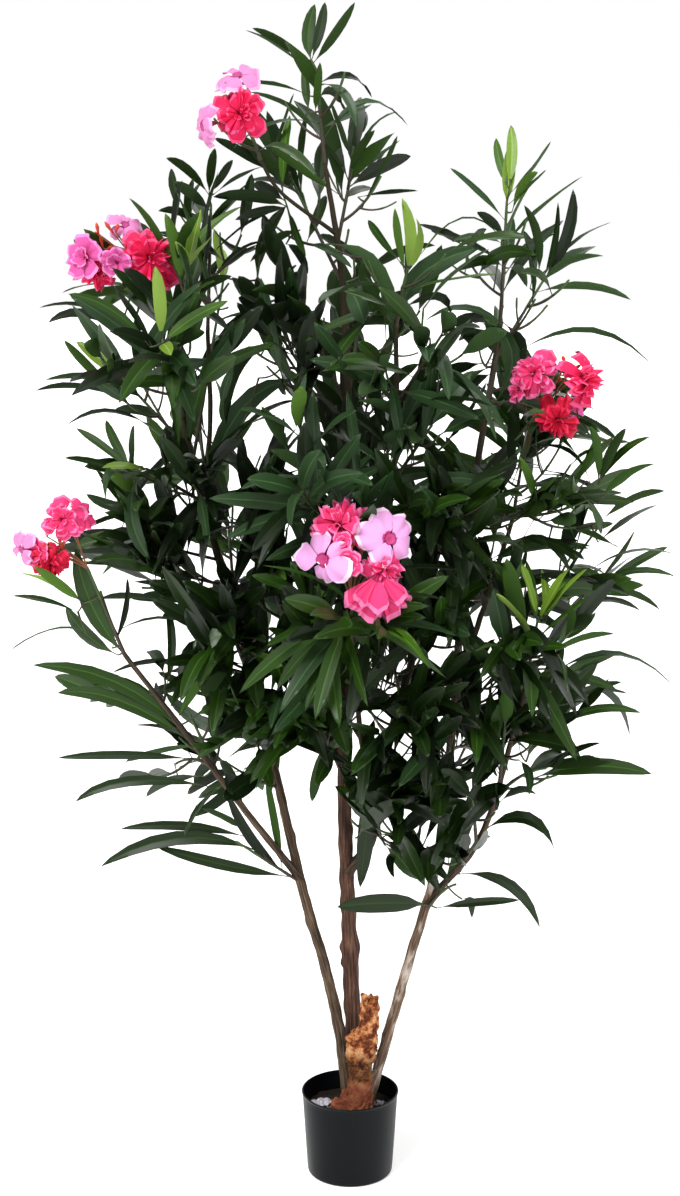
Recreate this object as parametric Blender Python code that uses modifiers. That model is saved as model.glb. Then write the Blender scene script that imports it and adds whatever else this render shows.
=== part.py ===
"""An artificial oleander, 1.80 m tall, in its plain black pot, as solid pieces in metres.

Three wooden stems and a cork-bark root stub stand in a filled pot. Boughs leave the stems, and each
bough or stem carries sprays: one twig with side twigs and whorls of three long leaves, five of them
with blossom. The origin is the centre of the pot's flat underside, +Z is up, and -Y is the front.
"""

import math
import random

import bmesh
import bpy
import numpy as np
from mathutils import Vector
from mathutils.bvhtree import BVHTree

NAME = "potted_oleander"

# Every piece keeps this gap to the piece that it touches.
GAP = 0.0003

# The pot and its filling.
POT_HEIGHT = 0.135
POT_RIM_RADIUS = 0.0768
POT_BASE_RADIUS = 0.0673
POT_WALL = 0.0016
POT_FLOOR = 0.0020
POT_LIP = 0.0010
POT_LIP_HEIGHT = 0.0040
POT_EDGE = 0.0025
POT_STEPS = 28
FILL_TOP = 0.1055
GROUND = FILL_TOP + GAP

# The stub of cork bark in front of the stems, with the lump at its foot.
# Each of its rings has a height, a place across and away, and a half width and half depth.
STUB_RINGS = (
    (GROUND, 0.0150, -0.0240, 0.0200, 0.0135),
    (0.1500, 0.0160, -0.0240, 0.0190, 0.0135),
    (0.1900, 0.0160, -0.0235, 0.0200, 0.0135),
    (0.2060, 0.0170, -0.0235, 0.0240, 0.0140),
    (0.2360, 0.0180, -0.0230, 0.0240, 0.0140),
    (0.2460, 0.0300, -0.0220, 0.0140, 0.0125),
    (0.2960, 0.0310, -0.0220, 0.0140, 0.0125),
)
STUB_SIDES = 12
BARK_SHARE = (0.86, 1.06)
BREAK_DEPTH = 0.012
BREAK_RISE = 0.009
LUMP_CENTRE = (0.003, -0.032)
LUMP_SIZE = (0.034, 0.020, 0.044)
LUMP_SHARE = (0.90, 1.06)

# Stems: radius at the ground and at the tip, then the bends (x, y, z) from the ground to the tip.
LIMB_SIDES = 8
STEM_STEPS = 4
UPRIGHT = 0.012
FLARE = 0.22
FLARE_HEIGHT = 0.020
TAPER_POWER = 0.85
STEMS = {
    "stem_left": (
        0.0096,
        0.0040,
        ((-0.006, 0.004, GROUND), (-0.035, 0.016, 0.312), (-0.117, 0.040, 0.657),
         (-0.187, 0.050, 0.922), (-0.250, 0.042, 1.180), (-0.255, 0.030, 1.317)),
    ),
    "stem_middle": (
        0.0138,
        0.0038,
        ((0.010, 0.031, GROUND), (-0.002, 0.020, 0.404), (-0.010, 0.010, 0.666),
         (-0.006, 0.010, 1.100), (-0.010, 0.002, 1.377), (-0.038, 0.000, 1.574)),
    ),
    "stem_right": (
        0.0084,
        0.0042,
        ((0.027, 0.004, GROUND), (0.091, -0.010, 0.351), (0.133, -0.030, 0.526),
         (0.158, -0.030, 0.779), (0.174, 0.000, 1.019), (0.222, 0.020, 1.332)),
    ),
}

# Boughs: what carries it and how high, radius at its foot and at its tip, then its bends to the tip.
BOUGH_STEPS = 3
BOUGHS = {
    "bough_right_fork": ("stem_middle", 0.490, 0.0085, 0.0045,
                         ((0.036, -0.004, 0.560), (0.064, -0.020, 0.735), (0.128, -0.020, 0.946))),
    "bough_cut": ("stem_middle", 0.666, 0.0080, 0.0060,
                  ((-0.040, 0.024, 0.722), (-0.101, 0.050, 0.894))),
    "bough_centre": ("bough_right_fork", 0.620, 0.0050, 0.0034,
                     ((0.020, -0.060, 0.700), (0.001, -0.160, 0.885))),
    "bough_low_left": ("stem_left", 0.478, 0.0058, 0.0034,
                       ((-0.150, -0.025, 0.588), (-0.248, -0.070, 0.738), (-0.334, -0.090, 0.862))),
    "bough_low_right": ("stem_right", 0.455, 0.0056, 0.0034,
                        ((0.200, -0.064, 0.580), (0.256, -0.100, 0.806))),
    "bough_upper_left": ("stem_middle", 1.473, 0.0034, 0.0028,
                         ((-0.100, -0.030, 1.531), (-0.130, -0.050, 1.577))),
    "bough_left_high": ("stem_left", 1.080, 0.0042, 0.0032,
                        ((-0.214, 0.064, 1.180), (-0.216, 0.070, 1.329))),
    "bough_inner_right": ("stem_middle", 0.987, 0.0048, 0.0034,
                          ((0.062, -0.050, 1.130), (0.065, -0.060, 1.340))),
    "bough_back_left": ("stem_left", 0.775, 0.0052, 0.0034,
                        ((-0.170, 0.120, 0.860), (-0.215, 0.200, 0.980))),
    "bough_back": ("stem_middle", 0.800, 0.0052, 0.0034,
                   ((0.005, 0.110, 0.900), (0.020, 0.220, 1.050))),
    "bough_back_right": ("stem_right", 0.800, 0.0052, 0.0034,
                         ((0.205, 0.080, 0.890), (0.260, 0.190, 1.020))),
}

# Sprays: what carries it and how high (TIP: at its very tip), the twig's own tip, how far the twig
# bows up, and its number of side twigs.
TIP = None
SPRAYS = {
    "spray_leader": ("stem_middle", TIP, (-0.050, -0.010, 1.702), 0.00, 2),
    "spray_top_back": ("stem_middle", 1.46, (0.010, 0.070, 1.610), 0.00, 4),
    "spray_top_left": ("stem_middle", 1.40, (-0.090, 0.100, 1.555), 0.00, 4),
    "flowers_top": ("bough_upper_left", TIP, (-0.145, -0.070, 1.615), 0.01, 3),
    "spray_upper_left": ("bough_left_high", TIP, (-0.210, 0.090, 1.515), 0.00, 3),
    "flowers_high_left": ("stem_left", TIP, (-0.310, 0.000, 1.420), 0.02, 4),
    "spray_young_left": ("stem_left", 1.28, (-0.235, -0.075, 1.425), 0.00, 3),
    "spray_high_left": ("stem_left", 1.20, (-0.265, -0.180, 1.325), 0.00, 3),
    "spray_far_left": ("stem_left", 1.15, (-0.340, 0.020, 1.260), 0.00, 3),
    "spray_mid_left": ("stem_left", 1.07, (-0.300, -0.060, 1.135), 0.00, 3),
    "flowers_low_left": ("bough_low_left", TIP, (-0.385, -0.100, 0.995), 0.00, 2),
    "spray_low_left": ("bough_low_left", 0.76, (-0.325, -0.030, 0.790), 0.02, 2),
    "skirt_left": ("bough_low_left", 0.68, (-0.270, 0.020, 0.665), 0.02, 2),
    "foot_left": ("stem_left", 0.47, (-0.175, -0.030, 0.555), 0.00, 1),
    "spray_inner_left_high": ("stem_middle", 1.18, (-0.120, -0.020, 1.350), 0.00, 5),
    "spray_inner_left": ("bough_cut", TIP, (-0.140, -0.020, 1.130), 0.00, 4),
    "spray_young_inner": ("bough_inner_right", TIP, (0.080, -0.080, 1.425), 0.00, 2),
    "spray_top_right": ("stem_right", TIP, (0.230, 0.030, 1.520), 0.00, 2),
    "spray_shoulder_right": ("stem_right", 1.29, (0.285, 0.020, 1.405), 0.00, 4),
    "flowers_right": ("stem_right", 1.22, (0.280, -0.050, 1.215), 0.02, 4),
    "spray_mid_right": ("stem_right", 1.07, (0.350, -0.060, 1.090), -0.04, 3),
    "spray_far_right": ("stem_right", 0.94, (0.365, 0.030, 0.935), -0.03, 3),
    "spray_young_right": ("bough_low_right", TIP, (0.270, -0.140, 0.925), 0.00, 3),
    "spray_low_right": ("bough_low_right", 0.72, (0.335, 0.000, 0.780), 0.00, 3),
    "skirt_right": ("bough_low_right", 0.64, (0.295, -0.060, 0.680), 0.02, 3),
    "foot_right": ("bough_low_right", 0.53, (0.205, -0.130, 0.595), 0.02, 1),
    "foot_front": ("stem_right", 0.43, (0.160, -0.070, 0.500), 0.02, 0),
    "flowers_centre": ("bough_centre", TIP, (0.000, -0.250, 0.975), 0.00, 4),
    "spray_star_front": ("stem_middle", 1.05, (-0.070, -0.240, 1.125), -0.03, 3),
    "spray_front_right": ("bough_right_fork", TIP, (0.125, -0.160, 1.105), 0.00, 4),
    "spray_front_high": ("bough_inner_right", 1.23, (0.125, -0.170, 1.335), 0.00, 3),
    "spray_front_left": ("stem_left", 0.78, (-0.180, -0.140, 0.925), 0.00, 4),
    "skirt_front": ("bough_right_fork", 0.73, (0.085, -0.180, 0.785), 0.00, 4),
    "skirt_front_left": ("bough_cut", 0.74, (-0.095, -0.120, 0.815), 0.00, 4),
    "spray_back_high": ("stem_middle", 1.22, (0.030, 0.200, 1.440), 0.00, 3),
    "spray_back_high_left": ("stem_left", 1.13, (-0.200, 0.220, 1.400), 0.00, 3),
    "spray_back_high_right": ("stem_right", 1.18, (0.240, 0.200, 1.360), 0.00, 3),
    "spray_back_left": ("bough_back_left", TIP, (-0.250, 0.310, 1.160), 0.00, 4),
    "spray_back_mid": ("bough_back", TIP, (0.010, 0.340, 1.220), 0.00, 4),
    "spray_back_right": ("bough_back_right", TIP, (0.290, 0.280, 1.160), 0.00, 4),
    "skirt_back_left": ("bough_back_left", 0.87, (-0.190, 0.300, 0.900), 0.02, 3),
    "skirt_back": ("bough_back", 0.90, (0.020, 0.310, 0.920), 0.02, 3),
    "skirt_back_right": ("bough_back_right", 0.90, (0.240, 0.270, 0.880), 0.02, 3),
}

# Blossom: number of blooms in the ring, the ring's radius, where its first bloom stands (degrees),
# and the way that the cluster faces (degrees from the front toward +X, degrees up).
BLOSSOM = {
    "flowers_top": (3, 0.036, 80.0, -25.0, 25.0),
    "flowers_high_left": (4, 0.046, 70.0, -35.0, 20.0),
    "flowers_right": (3, 0.044, 20.0, 30.0, 15.0),
    "flowers_low_left": (3, 0.042, 60.0, -40.0, 15.0),
    "flowers_centre": (4, 0.052, 30.0, 0.0, 10.0),
}
BLOOM_RADIUS = 0.036
BLOOM_NOTCH = 0.72
BLOOM_CUP = 0.010
PETALS = 5
PEDICEL = 0.046
PEDICEL_RADIUS = 0.0014
PEDICEL_SUNK = 0.004

# Twigs.
TWIG_SIDES = 3
MAIN_STEPS = 4
MAIN_RADIUS = (0.0030, 0.0019)
NECK = 0.008
SIDE_STEPS = 2
SIDE_RADIUS = (0.0023, 0.0016)
SIDE_LENGTH = 0.52
SIDE_SHORTEST = 0.080
SIDE_FIRST = 0.18
SIDE_LAST = 0.78
GOLDEN_TURN = math.radians(137.5)

# A limb or twig is trimmed at its foot in these steps until its end clears its carrier.
TRIM_STEP = 0.0001
TRIM_MOST = 0.6
FIRST_RUN = 0.006
CIRCLE_SIDES = 32

# Leaves: three at a node, the node spacing along a twig, and the bare lower part of a twig.
WHORL = 3
NODE_SPACING = 0.034
EVERY_NODE = 2
BARE = 0.22
LEAF_LENGTH = 0.176
LEAF_WIDTH = 0.185
LEAF_THICKNESS = 1.0 / 85.0
LEAF_WIDEST = 0.48
LEAF_SAMPLES = 16
SUNK = 0.0004
STAGGER = 0.0040
LOW_ANGLE = 74.0
TOP_ANGLE = 24.0
DROOP = 0.55

# The space of a spray: its leaves and twigs keep nearer to its own twig than to any other spray's,
# and none hangs lower than this under the twig's foot. What has no room is tried shorter.
SPACE_MARGIN = 0.002
TWIG_MARGIN = 0.008
HANG = 0.070
LIMB_CLEARANCE = 0.0025
BLOOM_CLEARANCE = 0.006
LEAF_APART = 0.006
TWIG_APART = 0.004
SHORTER = (1.0, 0.82, 0.66)

# Faces that a union has split are joined again where they meet at less than this angle.
FLAT_ANGLE = math.radians(0.5)

UP = np.array((0.0, 0.0, 1.0))


def unit(vector):
    """The vector at length one."""
    return vector / np.linalg.norm(vector)


def smooth(stations, steps):
    """A Catmull-Rom curve through the stations, with this many steps from each to the next."""
    p = np.array(stations, float)
    p = np.vstack((2.0 * p[0] - p[1], p, 2.0 * p[-1] - p[-2]))
    curve = []
    for a, b, c, d in zip(p, p[1:], p[2:], p[3:]):
        for t in np.arange(steps) / steps:
            bend = (2.0 * a - 5.0 * b + 4.0 * c - d) * t * t + (3.0 * b - a - 3.0 * c + d) * t ** 3
            curve.append(0.5 * (2.0 * b + (c - a) * t + bend))
    curve.append(p[-2])
    return np.array(curve)


def arch(start, middle, end, steps):
    """A quadratic Bezier curve, in this many steps."""
    t = np.linspace(0.0, 1.0, steps + 1)[:, None]
    return (1.0 - t) ** 2 * start + 2.0 * t * (1.0 - t) * middle + t * t * end


def length_of(path):
    """The length along a path."""
    return np.linalg.norm(np.diff(path, axis=0), axis=1).sum()


def place_on(path, share):
    """The point at this share of the path's steps, and the path's direction there."""
    at = min(share, 0.999) * (len(path) - 1)
    first = int(at)
    step = path[first + 1] - path[first]
    return path[first] + step * (at - first), unit(step)


def height_on(path, height):
    """The share of the path's steps at which it reaches this height."""
    return float(np.interp(height, path[:, 2], np.linspace(0.0, 1.0, len(path))))


def across(direction, turn):
    """A unit vector across the direction, turned round it by this angle."""
    side = np.cross(direction, UP)
    if np.linalg.norm(side) < 0.15:
        side = np.cross(direction, (0.0, 1.0, 0.0))
    side = unit(side)
    return side * math.cos(turn) + np.cross(direction, side) * math.sin(turn)


def distance(points, path, radii=0.0):
    """How far each point is from a path, or from the surface of a tube with these radii."""
    start = path[:-1]
    step = np.diff(path, axis=0)
    t = ((points[:, None] - start) * step).sum(2) / (step ** 2).sum(1)
    t = np.clip(t, 0.0, 1.0)
    near = np.linalg.norm(points[:, None] - start - t[..., None] * step, axis=2)
    if np.ndim(radii):
        near = near - (radii[:-1] * (1.0 - t) + radii[1:] * t)
    return near.min(1)


def apart(points, others):
    """The least distance between two sets of points."""
    return np.linalg.norm(points[:, None] - others, axis=2).min()


def rings(path, radii, sides):
    """Rings of points square to the path, carried along it without a twist."""
    ahead = np.gradient(path, axis=0)
    ahead[0] = path[1] - path[0]
    ahead[-1] = path[-1] - path[-2]
    side = across(unit(ahead[0]), 0.0)
    turns = np.arange(sides) * 2.0 * math.pi / sides
    result = []
    for centre, direction, radius in zip(path, ahead, radii):
        direction = unit(direction)
        side = unit(side - direction * side.dot(direction))
        other = np.cross(direction, side)
        spokes = np.outer(np.cos(turns), side) + np.outer(np.sin(turns), other)
        result.append(centre + radius * spokes)
    return np.array(result)


def mesh_object(name, points, faces, collection, material=None):
    """A new object from points and faces, linked to the collection."""
    mesh = bpy.data.meshes.new(name)
    mesh.from_pydata([tuple(p) for p in points], [], faces)
    if material:
        mesh.materials.append(material)
    made = bpy.data.objects.new(name, mesh)
    collection.objects.link(made)
    return made


def tube_object(name, path, radii, sides, collection, material=None):
    """A closed tapering tube with flat ends."""
    points = rings(path, radii, sides).reshape(-1, 3)
    faces = [tuple(range(sides))[::-1]]
    for ring in range(len(path) - 1):
        for k in range(sides):
            a = ring * sides + k
            b = ring * sides + (k + 1) % sides
            faces.append((a, b, b + sides, a + sides))
    faces.append(tuple(range(len(points) - sides, len(points))))
    return mesh_object(name, points, faces, collection, material)


def plain_material(name, colour, roughness, metallic=0.0):
    """A Principled material of one linear colour."""
    material = bpy.data.materials.new(name)
    material.use_nodes = True
    shader = material.node_tree.nodes["Principled BSDF"]
    shader.inputs["Base Color"].default_value = (*colour, 1.0)
    shader.inputs["Roughness"].default_value = roughness
    shader.inputs["Metallic"].default_value = metallic
    material.diffuse_color = (*colour, 1.0)
    return material


def turned_object(name, profile, collection, material):
    """A solid of revolution about Z: the profile is given as (radius, height) pairs."""
    points = [(radius, 0.0, height) for radius, height in profile]
    edges = [(k, k + 1) for k in range(len(points) - 1)]
    mesh = bpy.data.meshes.new(name)
    mesh.from_pydata(points, edges, [])
    mesh.materials.append(material)
    made = bpy.data.objects.new(name, mesh)
    collection.objects.link(made)
    screw = made.modifiers.new("turn", "SCREW")
    screw.steps = POT_STEPS
    screw.render_steps = POT_STEPS
    screw.use_merge_vertices = True
    screw.merge_threshold = 0.0001
    return made


def wall_radius(height):
    """The pot's outer radius at this height."""
    return POT_BASE_RADIUS + (POT_RIM_RADIUS - POT_LIP - POT_BASE_RADIUS) * height / POT_HEIGHT


def make_pot(collection, material):
    """The pot: a thin tapering shell with a small lip and a flat underside."""
    lip_foot = POT_HEIGHT - POT_LIP_HEIGHT
    profile = (
        (0.0, POT_FLOOR),
        (wall_radius(POT_FLOOR) - POT_WALL, POT_FLOOR),
        (wall_radius(POT_HEIGHT) - POT_WALL, POT_HEIGHT),
        (POT_RIM_RADIUS, POT_HEIGHT),
        (POT_RIM_RADIUS, lip_foot),
        (wall_radius(lip_foot), lip_foot - POT_LIP),
        (wall_radius(POT_EDGE), POT_EDGE),
        (POT_BASE_RADIUS - 0.7 * POT_EDGE, 0.3 * POT_EDGE),
        (POT_BASE_RADIUS - 1.6 * POT_EDGE, 0.0),
        (0.0, 0.0),
    )
    turned_object("pot", profile, collection, material)


def make_fill(collection, material):
    """The filling: a plug that reaches the pot's floor and wall, with a flat top for the stems."""
    inner = wall_radius(0.0) - POT_WALL - 2.0 * GAP
    inner_top = wall_radius(FILL_TOP) - POT_WALL - 2.0 * GAP
    profile = (
        (0.0, FILL_TOP),
        (inner_top - 0.003, FILL_TOP),
        (inner_top, FILL_TOP - 0.003),
        (inner, POT_FLOOR + GAP),
        (0.0, POT_FLOOR + GAP),
    )
    turned_object("pot_fill", profile, collection, material)


def make_stub(collection, pieces, material):
    """The bark stub: a rough post with a broken top, fused to the lump at its foot."""
    draw = random.Random("bark")
    turns = np.arange(STUB_SIDES) * 2.0 * math.pi / STUB_SIDES
    points = []
    for height, x, y, wide, deep in STUB_RINGS:
        rough = np.array([draw.uniform(*BARK_SHARE) for _ in turns])
        ring_x = x + wide * rough * np.cos(turns)
        ring_y = y + deep * rough * np.sin(turns)
        points.append(np.stack((ring_x, ring_y, np.full(STUB_SIDES, height)), 1))
    points = np.array(points)
    points[-1, :, 2] += [draw.uniform(-BREAK_DEPTH, BREAK_RISE) for _ in turns]
    path = points.mean(axis=1)
    stub = tube_object("root_stub", path, np.ones(len(path)), STUB_SIDES, collection, material)
    for vertex, point in zip(stub.data.vertices, points.reshape(-1, 3)):
        vertex.co = point
    ball = bmesh.new()
    bmesh.ops.create_icosphere(ball, subdivisions=2, radius=1.0)
    bm = bmesh.new()
    for vertex in ball.verts:
        rough = draw.uniform(*LUMP_SHARE)
        x, y, z = vertex.co
        bm.verts.new((
            LUMP_CENTRE[0] + LUMP_SIZE[0] * x * rough,
            LUMP_CENTRE[1] + LUMP_SIZE[1] * y * rough,
            GROUND + LUMP_SIZE[2] * max(z, 0.0) * rough,
        ))
    ball.free()
    hull = bmesh.ops.convex_hull(bm, input=bm.verts[:])
    bmesh.ops.delete(bm, geom=hull["geom_interior"], context="VERTS")
    bmesh.ops.recalc_face_normals(bm, faces=bm.faces[:])
    mesh = bpy.data.meshes.new("lump")
    bm.to_mesh(mesh)
    bm.free()
    pieces.objects.link(bpy.data.objects.new("lump", mesh))
    fuse(stub, pieces)


def fuse(body, pieces):
    """Joins all the pieces to the body in one union, keeps its one outer shell, and removes them."""
    union = body.modifiers.new("fuse", "BOOLEAN")
    union.operation = "UNION"
    union.operand_type = "COLLECTION"
    union.collection = pieces
    union.solver = "EXACT"
    graph = bpy.context.evaluated_depsgraph_get()
    joined = bpy.data.meshes.new_from_object(body.evaluated_get(graph))
    body.modifiers.clear()
    body.data = joined
    for piece in list(pieces.objects):
        bpy.data.objects.remove(piece)
    keep_largest_shell(joined)


def keep_largest_shell(mesh):
    """Drops loose scraps, and the walls of any hollow that a union has sealed."""
    bm = bmesh.new()
    bm.from_mesh(mesh)
    left = set(bm.faces)
    shells = []
    while left:
        front = [left.pop()]
        shell = set(front)
        while front:
            face = front.pop()
            near = {other for edge in face.edges for other in edge.link_faces} & left
            left -= near
            shell |= near
            front.extend(near)
        shells.append(shell)
    shells.sort(key=len)
    scraps = [face for shell in shells[:-1] for face in shell]
    bmesh.ops.delete(bm, geom=scraps, context="FACES")
    bmesh.ops.dissolve_limit(bm, angle_limit=FLAT_ANGLE, verts=bm.verts[:], edges=bm.edges[:])
    bm.to_mesh(mesh)
    bm.free()


def taper(count, first, last):
    """Radii that fall from the first to the last along a path of this many points."""
    return last + (first - last) * (1.0 - np.linspace(0.0, 1.0, count)) ** TAPER_POWER


def stem_path(name):
    """A stem's centre line and radii, upright at the flat cut where it flares."""
    first, last, bends = STEMS[name]
    path = smooth(bends, STEM_STEPS)
    foot = path[0].copy()
    path = np.vstack((foot, foot + UP * UPRIGHT, (foot + path[1]) / 2.0, path[1:]))
    path[2, :2] = (foot[:2] + path[2, :2]) / 2.0
    radii = taper(len(path), first, last)
    radii *= 1.0 + FLARE * np.exp(-(path[:, 2] - GROUND) / FLARE_HEIGHT)
    return path, radii


def surface_of(limb):
    """The limb's solid surface, to measure from."""
    graph = bpy.context.evaluated_depsgraph_get()
    mesh = bpy.data.meshes.new_from_object(limb.evaluated_get(graph))
    points = [tuple(vertex.co) for vertex in mesh.vertices]
    faces = [tuple(face.vertices) for face in mesh.polygons]
    bpy.data.meshes.remove(mesh)
    return BVHTree.FromPolygons(points, faces)


def outside(points, surface):
    """How far the nearest of the points stands outside a surface: below zero where one is inside."""
    least = math.inf
    for point in map(Vector, points):
        foot, normal, _, gap = surface.find_nearest(point)
        least = min(least, math.copysign(gap, (point - foot).dot(normal)))
    return least


def clear_of(path, radius, sides, surface):
    """The path from where its first ring stands the gap clear of the limb that carries it."""
    marks = np.concatenate(([0.0], np.cumsum(np.linalg.norm(np.diff(path, axis=0), axis=1))))
    for walked in np.arange(0.0, TRIM_MOST * marks[-1], TRIM_STEP):
        start = np.array([np.interp(walked, marks, path[:, k]) for k in range(3)])
        trimmed = np.vstack((start, path[marks > walked + FIRST_RUN]))
        ring = rings(trimmed[:2], (radius, radius), sides)[0]
        ring = np.vstack((ring, (ring + np.roll(ring, 1, axis=0)) / 2.0))
        if outside(ring, surface) >= GAP:
            return trimmed
    raise ValueError("a limb never leaves the one that carries it")


def bough_path(name, limbs):
    """A bough's centre line and radii, from just clear of the limb that carries it."""
    carrier, height, first, last, bends = BOUGHS[name]
    line, _, surface = limbs[carrier]
    start, _ = place_on(line, height_on(line, height))
    path = smooth((start, *bends), BOUGH_STEPS)
    path = clear_of(path, first, CIRCLE_SIDES, surface)
    return path, taper(len(path), first, last)


def make_limb(name, path, radii, collection, material):
    """A stem or bough as a bevelled curve, with a radius at each point and filled ends."""
    curve = bpy.data.curves.new(name, "CURVE")
    curve.dimensions = "3D"
    curve.bevel_depth = 1.0
    curve.bevel_resolution = LIMB_SIDES // 2 - 2
    curve.use_fill_caps = True
    spline = curve.splines.new("POLY")
    spline.points.add(len(path) - 1)
    for point, centre, radius in zip(spline.points, path, radii):
        point.co = (*centre, 1.0)
        point.radius = radius
    curve.materials.append(material)
    limb = bpy.data.objects.new(name, curve)
    collection.objects.link(limb)
    return limb


def make_limbs(collection, woods):
    """The stems and then the boughs: each one's centre line, radii and surface."""
    limbs = {}
    for name in (*STEMS, *BOUGHS):
        path, radii = stem_path(name) if name in STEMS else bough_path(name, limbs)
        limb = make_limb(name, path, radii, collection, woods.get(name, woods["bough"]))
        limbs[name] = (path, radii, surface_of(limb))
    return limbs


def main_twig(name, limbs):
    """A spray's own twig, from the limb that carries it to the spray's tip."""
    carrier, height, tip, bow, _ = SPRAYS[name]
    line, _, surface = limbs[carrier]
    tip = np.array(tip)
    if height is TIP:
        ahead = unit(line[-1] - line[-2])
        foot = line[-1] + ahead * GAP
        neck = foot + ahead * NECK
        path = arch(neck, (neck + tip) / 2.0 + UP * bow, tip, MAIN_STEPS)
        return np.vstack((foot, path))
    start, _ = place_on(line, height_on(line, height))
    path = arch(start, (start + tip) / 2.0 + UP * bow, tip, MAIN_STEPS)
    return clear_of(path, MAIN_RADIUS[0], TWIG_SIDES, surface)


def side_twig(name, number, main):
    """One side twig: it leaves the main twig at a golden turn from the last and bends upward."""
    count = SPRAYS[name][4]
    draw = random.Random(f"{name} side {number}")
    share = SIDE_FIRST + (SIDE_LAST - SIDE_FIRST) * (number + 0.8 * draw.random()) / count
    start, ahead = place_on(main, share)
    out = across(ahead, number * GOLDEN_TURN + draw.uniform(-0.4, 0.4))
    reach = max(SIDE_SHORTEST, length_of(main) * SIDE_LENGTH * (1.2 - 0.6 * share))
    reach *= draw.uniform(0.85, 1.15)
    middle = start + reach * (0.20 * ahead + 0.42 * out)
    end = start + reach * (0.60 * ahead + 0.68 * out + 0.18 * UP)
    return arch(start, middle, end, SIDE_STEPS)


class Leaf:
    """One leaf: where it is rooted, its first direction, its sag, its length and its width."""

    def __init__(self, name, twig_number, twig, nodes, node, place, shorter):
        draw = random.Random(f"{name} {twig_number} {node} {place}")
        rise = 1.0 - node / nodes
        self.root, ahead = place_on(twig, BARE + (1.0 - BARE) * rise)
        self.root = self.root - ahead * STAGGER * place
        turn = node * math.pi / WHORL + place * 2.0 * math.pi / WHORL + twig_number * 0.9
        out = across(ahead, turn + draw.uniform(-0.25, 0.25))
        angle = LOW_ANGLE + (TOP_ANGLE - LOW_ANGLE) * rise ** 1.8 + draw.uniform(-9.0, 9.0)
        angle = math.radians(angle)
        self.ahead = unit(ahead * math.cos(angle) + out * math.sin(angle))
        self.length = LEAF_LENGTH * (1.0 - 0.40 * rise ** 3) * draw.uniform(0.82, 1.16) * shorter
        sag = DROOP * draw.uniform(0.35, 1.5) * (1.0 - 0.45 * rise)
        fall = out * 0.45 - UP * 0.85
        self.sag = (fall - self.ahead * fall.dot(self.ahead)) * sag
        self.width = LEAF_LENGTH * LEAF_WIDTH * draw.uniform(0.80, 1.05)
        self.face = unit(ahead - self.ahead * ahead.dot(self.ahead))
        self.side = np.cross(self.face, self.ahead)

    def midrib(self, share):
        """Points on the midrib: a straight run plus a sag that grows with the square of the way."""
        share = np.atleast_1d(share)[:, None]
        return self.root + self.length * (share * self.ahead + 0.5 * share ** 2 * self.sag)

    def samples(self, count):
        """Points along the midrib and both edges, as the solid leaf has them."""
        share = np.linspace(0.12, 1.0, count)
        middle = self.midrib(LEAF_WIDEST)[0]
        tip = self.midrib(1.0)[0]
        low = (share / LEAF_WIDEST)[:, None]
        high = ((share - LEAF_WIDEST) / (1.0 - LEAF_WIDEST))[:, None]
        line = np.where(low < 1.0, self.root + (middle - self.root) * low, middle + (tip - middle) * high)
        half = np.where(low < 1.0, low, 1.0 - high) * self.width / 2.0
        return np.vstack((line, line + self.side * half, line - self.side * half))

    def build(self, pieces):
        """The leaf as a thin closed solid: a sunk root, its widest section with a ridge, and a point."""
        middle = self.midrib(LEAF_WIDEST)[0]
        half = self.side * self.width / 2.0
        points = (
            self.root - self.ahead * SUNK,
            middle + half,
            middle + self.face * self.length * LEAF_THICKNESS,
            middle - half,
            self.midrib(1.0)[0],
        )
        faces = []
        for k in range(3):
            after = (k + 1) % 3
            faces.append((0, 1 + after, 1 + k))
            faces.append((4, 1 + k, 1 + after))
        mesh_object("leaf", points, faces, pieces)


def blooms_of(name, main):
    """Where the blooms of a spray stand, and the way that each one faces."""
    count, radius, first, azimuth, height = BLOSSOM[name]
    azimuth = math.radians(azimuth)
    height = math.radians(height)
    front = np.array((math.sin(azimuth) * math.cos(height), -math.cos(azimuth) * math.cos(height),
                      math.sin(height)))
    right = unit(np.cross(front, UP)) * -1.0
    above = np.cross(right, front) * -1.0
    centre = main[-1] + unit(front + UP) * PEDICEL
    blooms = []
    for k in range(count):
        turn = math.radians(first) + k * 2.0 * math.pi / count
        spoke = right * math.cos(turn) + above * math.sin(turn)
        blooms.append((centre + spoke * radius, unit(front + 0.55 * spoke)))
    return blooms


def make_bloom(centre, facing, root, number, pieces):
    """A bloom as a shallow five-lobed dish on a thin stalk that is sunk in the twig's tip."""
    count = 2 * PETALS
    right = across(facing, number * 0.7)
    other = np.cross(facing, right)
    points = []
    for k in range(count):
        turn = k * 2.0 * math.pi / count
        lobe = k % 2 == 0
        radius = BLOOM_RADIUS * (1.0 if lobe else BLOOM_NOTCH)
        lift = BLOOM_CUP * (0.55 if lobe else 0.25)
        points.append(centre + radius * (right * math.cos(turn) + other * math.sin(turn)) + facing * lift)
    points.append(centre - facing * 0.25 * BLOOM_CUP)
    points.append(centre - facing * BLOOM_CUP)
    faces = []
    for k in range(count):
        after = (k + 1) % count
        faces.append((k, after, count))
        faces.append((after, k, count + 1))
    mesh_object("bloom", points, faces, pieces)
    end = centre - facing * 0.55 * BLOOM_CUP
    radii = (PEDICEL_RADIUS, PEDICEL_RADIUS)
    tube_object("stalk", np.array((root, end)), radii, TWIG_SIDES, pieces)


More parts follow.
